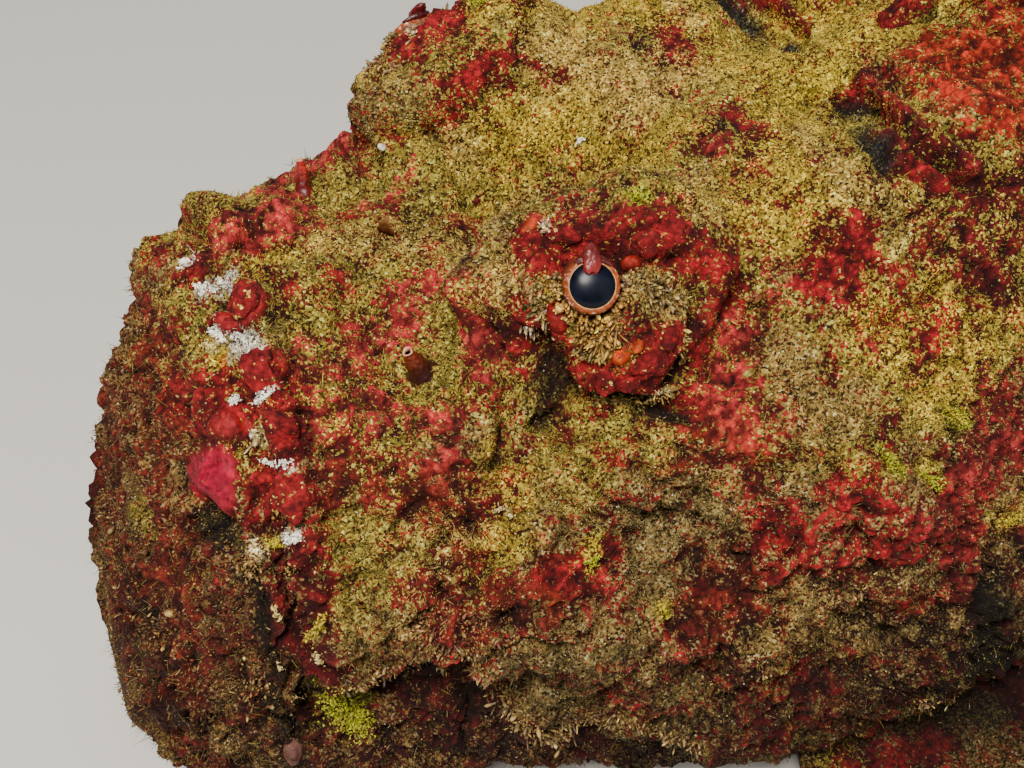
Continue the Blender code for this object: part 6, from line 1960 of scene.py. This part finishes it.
def spine_sleeves(material):
    """Thirteen spines in thick warty sleeves, bare and pale only at the tip."""
    points, quads, tints, covers, growths, sleeks, uvs = [], [], [], [], [], [], []
    rng = random.Random(SEED)
    count = len(SPINE_LENGTHS)
    sides, rings = int(32 / FINE), int(46 / FINE)
    total = 0
    for n, length in enumerate(SPINE_LENGTHS):
        x = SPINE_FIRST_X + (SPINE_LAST_X - SPINE_FIRST_X) * n / (count - 1)
        lean = math.radians(SPINE_LEAN)
        sway = rng.uniform(-0.07, 0.07)
        root = np.array((x, 0, float(profile(BACK_Z, np.array(float(x)))) - 7))
        along = unit(np.array((math.sin(lean), sway, math.cos(lean))))
        full = length + 9
        t = np.linspace(0, 1, rings)
        path = root + along * full * t[:, None] + np.array((1, 0, -0.2)) * (1.8 * t**2)[:, None]
        size = SPINE_RADIUS * length / 25
        radius = size * np.interp(t, (0, 0.6, 0.8, 0.88, 0.93, 1), (1.0, 0.92, 0.74, 0.45, 0.16, 0.02))
        _, first, second = frame_of(along)
        angle = np.arange(sides) * 2 * math.pi / sides
        ring = np.cos(angle)[:, None] * first + np.sin(angle)[:, None] * second
        grid = path[:, None] + ring[None] * radius[:, None, None]
        lumps = cells(grid, 3.0, 230 + n)
        rough = (0.55 - lumps) * 0.9 + 0.35 * noise(grid, 1.6, 231)
        rough = rough * np.clip(radius / size, 0, 1)[:, None] ** 2
        grid = grid + ring[None] * rough[..., None]
        flat = grid.reshape(-1, 3)
        normals = np.tile(ring, (rings, 1))
        tint, cover, growth = ground_paint(flat, normals, np.full(len(flat), 0.1))
        bare = smooth_step(0.86, 0.92, np.repeat(t, sides))
        tint = blended(tint, SPINE_TIP, bare)
        cover = np.clip(cover + 0.2 * noise(flat, 2.0, 232), 0.05, 0.9) * (1 - bare)
        points.append(flat)
        tints.append(tint)
        covers.append(cover)
        growths.append(growth)
        sleeks.append(bare)
        quads.append(total + grid_faces(rings, sides))
        i, j = np.divmod(grid_faces(rings, sides), sides)
        j[:, 1:3] = np.where(j[:, 1:3] < j[:, :1], sides, j[:, 1:3])
        uv = np.stack([i / rings, j / sides], -1) * np.array((0.95, 0.9 / count))
        uvs.append((uv + np.array((0.01, n / count + 0.003))).reshape(-1, 2))
        total += len(flat)
    values = (("cover", np.concatenate(covers)), ("sleek", np.concatenate(sleeks)),
              ("growth", np.concatenate(growths)))
    make_object("dorsal_sleeves", bent(np.concatenate(points)), quads, material,
                np.concatenate(tints), values, np.concatenate(uvs))


def spiny_membrane(material, tile):
    """The low notched skin between the dorsal spines."""
    count = len(SPINE_LENGTHS)
    columns = (count + 1) * RAY_COLUMNS + 1
    rows = int(40 / FINE)
    at = np.linspace(-0.6, count - 0.4, columns)
    spacing = (SPINE_LAST_X - SPINE_FIRST_X) / (count - 1)
    x = SPINE_FIRST_X + spacing * at
    length = np.interp(at, np.arange(count), SPINE_LENGTHS)
    near = np.abs(np.cos(math.pi * at)) ** 1.5
    rise = length * (0.34 + 0.28 * near) * smooth_step(-0.6, 0.1, at)
    rise = rise * smooth_step(count - 0.4, count - 1.1, at)
    up = -7 + (rise[None] + 7) * np.linspace(0, 1, rows)[:, None]
    lean = math.tan(math.radians(SPINE_LEAN)) * 0.8
    middle = np.stack([x[None] + lean * np.maximum(up, 0), 0 * up, profile(BACK_Z, x)[None] + up], -1)
    middle[..., 1] += 0.7 * noise(middle, 6.0, 240)
    along = np.repeat(np.linspace(0, 1, rows)[:, None], columns, 1)
    depth = np.interp(along, (0, 0.5, 1), (7.0, 4.4, 1.8)) * (0.75 + 0.25 * near[None])
    ridge = np.repeat(near[None], rows, 0)
    return sheet_object("dorsal_membrane", middle, depth, ridge, along * 0.8, tile, material, None,
                        ("spiny_dorsal_fin",))


def mirrored(points, side):
    return [(x, y * side, z) for x, y, z in points]


def make_fins(material):
    """All fins; returns the faces on which growth stands."""
    sheets = spiny_membrane(material, 0)
    spine_sleeves(material)
    for tile, (name, roots, tips, rays, thick, tip_thick, notch, lowest) in enumerate(MIDDLE_FINS, 2):
        sheets += rayed_fin(name, roots, tips, rays, 0, thick, tip_thick, 0.8, notch, tile, material, lowest,
                            (name + "_fin",))
    tile = 5
    for side, word in SIDES:
        for name, base, tips, rays, bow, thick, notch in PAIRED_FINS:
            roots = mirrored([(x, side_y(x, z) - FIN_SUNK, z) for x, z in base], side)
            sheets += rayed_fin(f"{name}_{word}", roots, mirrored(tips, side), rays, bow, thick, 1.4, 0.7,
                                notch, tile, material, FIN_FLOOR, (f"{name}_fin_{word}",))
            tile += 1
    return sheets


# Floor, light and camera

def make_stage():
    mesh = bpy.data.meshes.new("floor")
    reach = 6.0
    corners = [(-reach, -reach, 0), (reach, -reach, 0), (reach, reach, 0), (-reach, reach, 0)]
    mesh.from_pydata(corners, [], [(0, 1, 2, 3)])
    floor = bpy.data.objects.new("floor", mesh)
    bpy.context.scene.collection.objects.link(floor)
    made, _, shader = new_material("floor", 0.9)
    shader.inputs["Base Color"].default_value = (0.62, 0.60, 0.56, 1)
    mesh.materials.append(made)


def area_light(name, place, target, size, power, colour=(1, 1, 1)):
    data = bpy.data.lights.new(name, "AREA")
    data.shape = "DISK"
    data.size = size
    data.energy = power
    data.color = colour
    obj = bpy.data.objects.new(name, data)
    obj.location = [v * MM for v in place]
    away = Vector(target) - Vector(place)
    obj.rotation_euler = away.to_track_quat("-Z", "Y").to_euler()
    bpy.context.scene.collection.objects.link(obj)


def make_lights():
    world = bpy.data.worlds.new("studio")
    world.use_nodes = True
    world.node_tree.nodes["Background"].inputs["Color"].default_value = (1.0, 0.98, 0.95, 1)
    world.node_tree.nodes["Background"].inputs["Strength"].default_value = 0.14
    bpy.context.scene.world = world
    area_light("key", (-380, -420, 760), (-90, 0, 60), 0.30, 15.2, (1.0, 0.955, 0.88))
    area_light("fill", (250, -700, 420), (-60, 0, 50), 0.8, 1.2)
    area_light("back", (300, 600, 600), (0, 0, 50), 0.8, 2.0)


def make_camera():
    data = bpy.data.cameras.new("camera")
    data.lens = LENS
    data.sensor_width = SENSOR
    data.clip_start = 0.01
    obj = bpy.data.objects.new("camera", data)
    obj.location = [v * MM for v in CAMERA_PLACE]
    obj.rotation_euler = (math.radians(90 - CAMERA_ELEVATION), 0, math.radians(CAMERA_AZIMUTH))
    bpy.context.scene.collection.objects.link(obj)
    bpy.context.scene.camera = obj


def main():
    make_camera()
    make_stage()
    make_lights()
    rng = np.random.default_rng(SEED)
    skin_look = skin_material()
    growth_look = growth_material()
    lobe_look = lobe_material()
    pupil_look = pupil_material()
    skin = Skin()
    skin.build(skin_look)
    for side, word in SIDES:
        make_eye(skin.surface, side, word, pupil_look, lobe_look)
    sheets = make_fins(skin_look)
    share = 0.15 + skin.cover**1.5
    make_grains("grains", skin_roots(skin, GRAINS, view_weight(skin) * share, rng, 4.0), growth_look, rng)
    make_grains("fin_grains", fin_roots(sheets, FIN_GRAINS, rng), growth_look, rng)
    share = 0.05 + skin.cover**2
    make_blades("turf", skin_roots(skin, BLADES, view_weight(skin) * share, rng, 5.5), growth_look, rng)
    make_blades("fin_turf", fin_roots(sheets, FIN_BLADES, rng), growth_look, rng, 0.9, (0.14, 0.26), tall=2)
    make_bushes(skin, growth_look, rng)
    make_flaps(skin, growth_look, rng)
    make_frills(skin, growth_look, lobe_look, rng)
    make_lashes(skin, lobe_look, rng)
    make_hairs(skin, growth_look, rng)
    make_lobes(skin, skin_look)
    make_nostrils(skin, lobe_look)


main()
